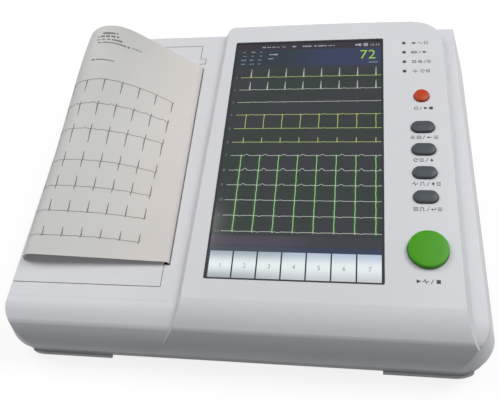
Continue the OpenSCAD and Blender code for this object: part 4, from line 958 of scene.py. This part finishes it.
def heading(u, s):
    """Degrees above level at s along the paper, on the row at u: 0 is the front edge, 1 the rear.

    The paper bends over at the lip to a slope that is steeper towards the rear. It turns down
    between start and end, a short stretch at the front and a long one at the rear.
    """
    climb = 4 + 18 * u + 21.5 * u ** 4
    past = s - LIP_DEPTH - BEND
    if past < 0:
        return UPRIGHT + (climb - UPRIGHT) * ease((s - LIP_DEPTH) / BEND)
    start, end = 110.6 - 50 * u, 132.4 + 9 * u
    return climb + (HANGING - climb) * ease((past - start) / (end - start))


def walk_along(u):
    """Across, height and heading at every step along one row of the paper."""
    x, height, stride, walk = SLOT_X, -NIP_DEPTH, SHEET_L / STEPS, []
    for i in range(STEPS + 1):
        walk.append((x, height, math.radians(heading(u, i * stride))))
        turn = math.radians(heading(u, (i + 0.5) * stride))
        x -= stride * math.cos(turn)
        height += stride * math.sin(turn)
    return walk


WALKS = [walk_along(row / ROWS_ACROSS) for row in range(ROWS_ACROSS + 1)]


def sheet_place(along, wide, lift=0.0):
    """Where a spot of the flat sheet lies: along from the nip, wide from the front edge."""
    i = min(STEPS - 0.001, max(0.0, along / SHEET_L * STEPS))
    j = min(ROWS_ACROSS - 0.001, max(0.0, wide / SHEET_W * ROWS_ACROSS))
    a, b = int(j), int(i)
    p, q = j - a, i - b
    corners = ((0, 0, (1 - p) * (1 - q)), (0, 1, (1 - p) * q), (1, 0, p * (1 - q)), (1, 1, p * q))
    x, height, turn = (sum(share * WALKS[a + m][b + n][part] for m, n, share in corners)
                       for part in range(3))
    x += lift * math.sin(turn)
    height += lift * math.cos(turn)
    return PRINTER @ Vector((x * MM, (wide - SHEET_W / 2) * MM, height * MM))


# %% Build the sheet
select_only()
bpy.ops.mesh.primitive_grid_add(x_subdivisions=STEPS // 2, y_subdivisions=ROWS_ACROSS, size=2)
paper = bpy.context.object
flat = paper.data.uv_layers[0]
flat.name = "flat"
spots = [((v.co.x + 1) / 2 * SHEET_L, (v.co.y + 1) / 2 * SHEET_W) for v in paper.data.vertices]
for loop in paper.data.loops:
    along, wide = spots[loop.vertex_index]
    flat.data[loop.index].uv = (wide * MM, along * MM)
for vert, (along, wide) in zip(paper.data.vertices, spots):
    vert.co = sheet_place(along, wide)
bpy.ops.object.mode_set(mode="EDIT")
bpy.ops.mesh.select_all(action="SELECT")
bpy.ops.mesh.flip_normals()
bpy.ops.object.mode_set(mode="OBJECT")
thick = paper.modifiers.new("thickness", "SOLIDIFY")
thick.thickness, thick.offset = SHEET_THICK * MM, 0.0
bpy.ops.object.modifier_apply(modifier="thickness")
finished(paper, "chart_sheet", Matrix.Identity(4), sheet_paper)
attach(paper, "door")
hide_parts("paper_sheet")
print("sheet has", len(paper.data.polygons), "faces")

# %% [markdown]
# ## The printed chart
# Seven rows of heartbeats run along the paper to its free end. Near the slot it is blank,
# because it was fed on after the last beat. The rows use the same curves as the screen, and the
# same place function as the sheet, lifted by a hair. The paper creeps a little to the side as
# it feeds, so the rows bow with it.

# %% Print the chart
CHART = [  # from the front edge, up, down, wave, sway: towards the rear edge is up
    (162.5, 0.4, 10.5, 0.4, 1.0), (140.5, 2.4, 11.0, 1.0, 0.85), (116.5, 4.6, 13.0, 0.6, 0.65),
    (86.5, 8.0, 6.5, 0.5, 0.7), (62.0, 9.8, 3.0, 0.5, 0.45), (39.0, 10.2, 0.8, 0.4, 0.3),
    (17.0, 7.6, 1.2, 0.5, 0.3)]
CREEP_LENGTH, STEEP, STEEP_WIDE, CALM_WIDE, CUTS = 82, 2, 0.56, 0.46, 4
PRINT_END = SHEET_L - 0.6


def chart_row(level, rise, drop, wave, sway):
    """One printed row of beats, as flat quads."""
    first, pitch = 44.0 - 8.8 * level / SHEET_W, 17.0 - level / SHEET_W

    def swayed(x, y):
        near = max(0.0, 1 - (x - first) / CREEP_LENGTH)
        return x, y + sway * (3.0 * math.sin(math.pi * near) - 4.5 * near ** 3)

    row, quads = beats(first, PRINT_END, first + 0.6, pitch, rise, drop, wave, level), []
    for (ax, ay), (bx, by) in zip(row, row[1:]):
        steep = abs(by - ay) > STEEP
        cuts = [(ax, ay)] if steep else [(ax + (bx - ax) * k / CUTS, ay + (by - ay) * k / CUTS)
                                         for k in range(CUTS)]
        spots = [swayed(*spot) for spot in cuts + [(bx, by)]]
        quads += line(spots, STEEP_WIDE if steep else CALM_WIDE, 2.0)
    return quads


chart = [quad for settings in CHART for quad in chart_row(*settings)]

# %% Print the heading
HEADING = [  # along, from the front edge, length
    (103.9, 203.6, 14), (101.0, 201.0, 21), (97.0, 198.4, 25), (89.9, 195.8, 30),
    (97.9, 181.0, 23)]
PAPER_LIFT = 0.13


def bent_dashes(along, wide, long, high, seed):
    """Small print that reads along the sheet, with its top towards the rear edge."""
    return [[(2 * along + long - x, y) for x, y in shape][::-1]
            for shape in dashes(along, wide, long, high, seed)]


def on_sheet(along, wide):
    """Places print a hair above the paper."""
    return sheet_place(along, wide, PAPER_LIFT)


chart += bent_dashes(77.9, 196.6, 9, 1.2, 31)
heading_lines = []
for seed, (along, wide, long) in enumerate(HEADING, 20):
    heading_lines += bent_dashes(along, wide, long, 1.5, seed)
chart_print = flat_marks("chart_print", chart, on_sheet, paper_ink, "door")
chart_heading = flat_marks("chart_heading", heading_lines, on_sheet, heading_ink, "door")

# %% [markdown]
# ## Floor and light
# The machine stands on a plain pale floor under soft light from above and behind, with a
# gentle fill from all round. Seen straight on, the floor is close to white, yet it still
# takes the machine's shadow; for the light it bounces it is a mid grey. The sky works the same
# way: white where the camera sees it, and a faint cool light for everything else.

# %% Floor
FLOOR_SIZE, FLOOR_DEPTH, GLOW_SHARE = 14, 0.2 * MM, 0.78
select_only()
bpy.ops.mesh.primitive_plane_add(size=FLOOR_SIZE, location=(0, 0, -FLOOR_DEPTH))
floor = bpy.context.object
floor.name = "floor"
ground = Finish("pale_floor", 0.9)
ground.set("Base Color", ground.mix(ground.noise(3, 2), tone(100, 100, 101), tone(106, 106, 107)))
rays = ground.node("ShaderNodeLightPath")
seen, mirrored, through = (Value(ground, rays.outputs[f"Is {kind} Ray"])
                           for kind in ("Camera", "Glossy", "Transmission"))
white = ground.node("ShaderNodeEmission", {}, {"Color": (1, 1, 1, 1), "Strength": 1.08})
pale = ground.node("ShaderNodeBsdfDiffuse", {}, {"Color": tone(250, 250, 250)})
bright = ground.node("ShaderNodeMixShader", {}, {
    0: GLOW_SHARE, 1: pale.outputs[0], 2: white.outputs[0]})
ground.show(ground.node("ShaderNodeMixShader", {}, {
    0: (seen + mirrored + through) > 0.5, 1: ground.shader.outputs[0], 2: bright.outputs[0]}))
floor.data.materials.append(ground.material)
print("floor laid")

# %% Sky
world = bpy.data.worlds.new("studio")
bpy.context.scene.world = world
world.use_nodes = True
sky_nodes, sky_links = world.node_tree.nodes, world.node_tree.links
sky, backdrop = sky_nodes["Background"], sky_nodes.new("ShaderNodeBackground")
sky.inputs["Color"].default_value = (0.93, 0.97, 1.0, 1)
sky.inputs["Strength"].default_value = 0.22
backdrop.inputs["Color"].default_value = (1, 1, 1, 1)
sight, either = sky_nodes.new("ShaderNodeLightPath"), sky_nodes.new("ShaderNodeMixShader")
sky_links.new(sight.outputs["Is Camera Ray"], either.inputs[0])
sky_links.new(sky.outputs[0], either.inputs[1])
sky_links.new(backdrop.outputs[0], either.inputs[2])
sky_links.new(either.outputs[0], sky_nodes["World Output"].inputs["Surface"])
print("sky has", len(sky_nodes), "nodes")

# %% Lamps
AIM = Vector((0, 0, 0.05))
LAMPS = [  # name, place, size, power
    ("left_above", (-0.85, 0.42, 1.35), 0.8, 8.5), ("right_above", (0.9, 0.42, 1.35), 0.8, 14),
    ("right_side", (1.6, 0.5, 0.7), 1.0, 2), ("left_side", (-1.6, 0.5, 0.8), 1.0, 2)]
for name, place, size, power in LAMPS:
    lamp = bpy.data.objects.new(name, bpy.data.lights.new(name, "AREA"))
    bpy.context.scene.collection.objects.link(lamp)
    lamp.data.size, lamp.data.energy = size, power
    lamp.location = place
    lamp.rotation_euler = (AIM - Vector(place)).to_track_quat("-Z", "Y").to_euler()
print(len(LAMPS), "lamps hung")
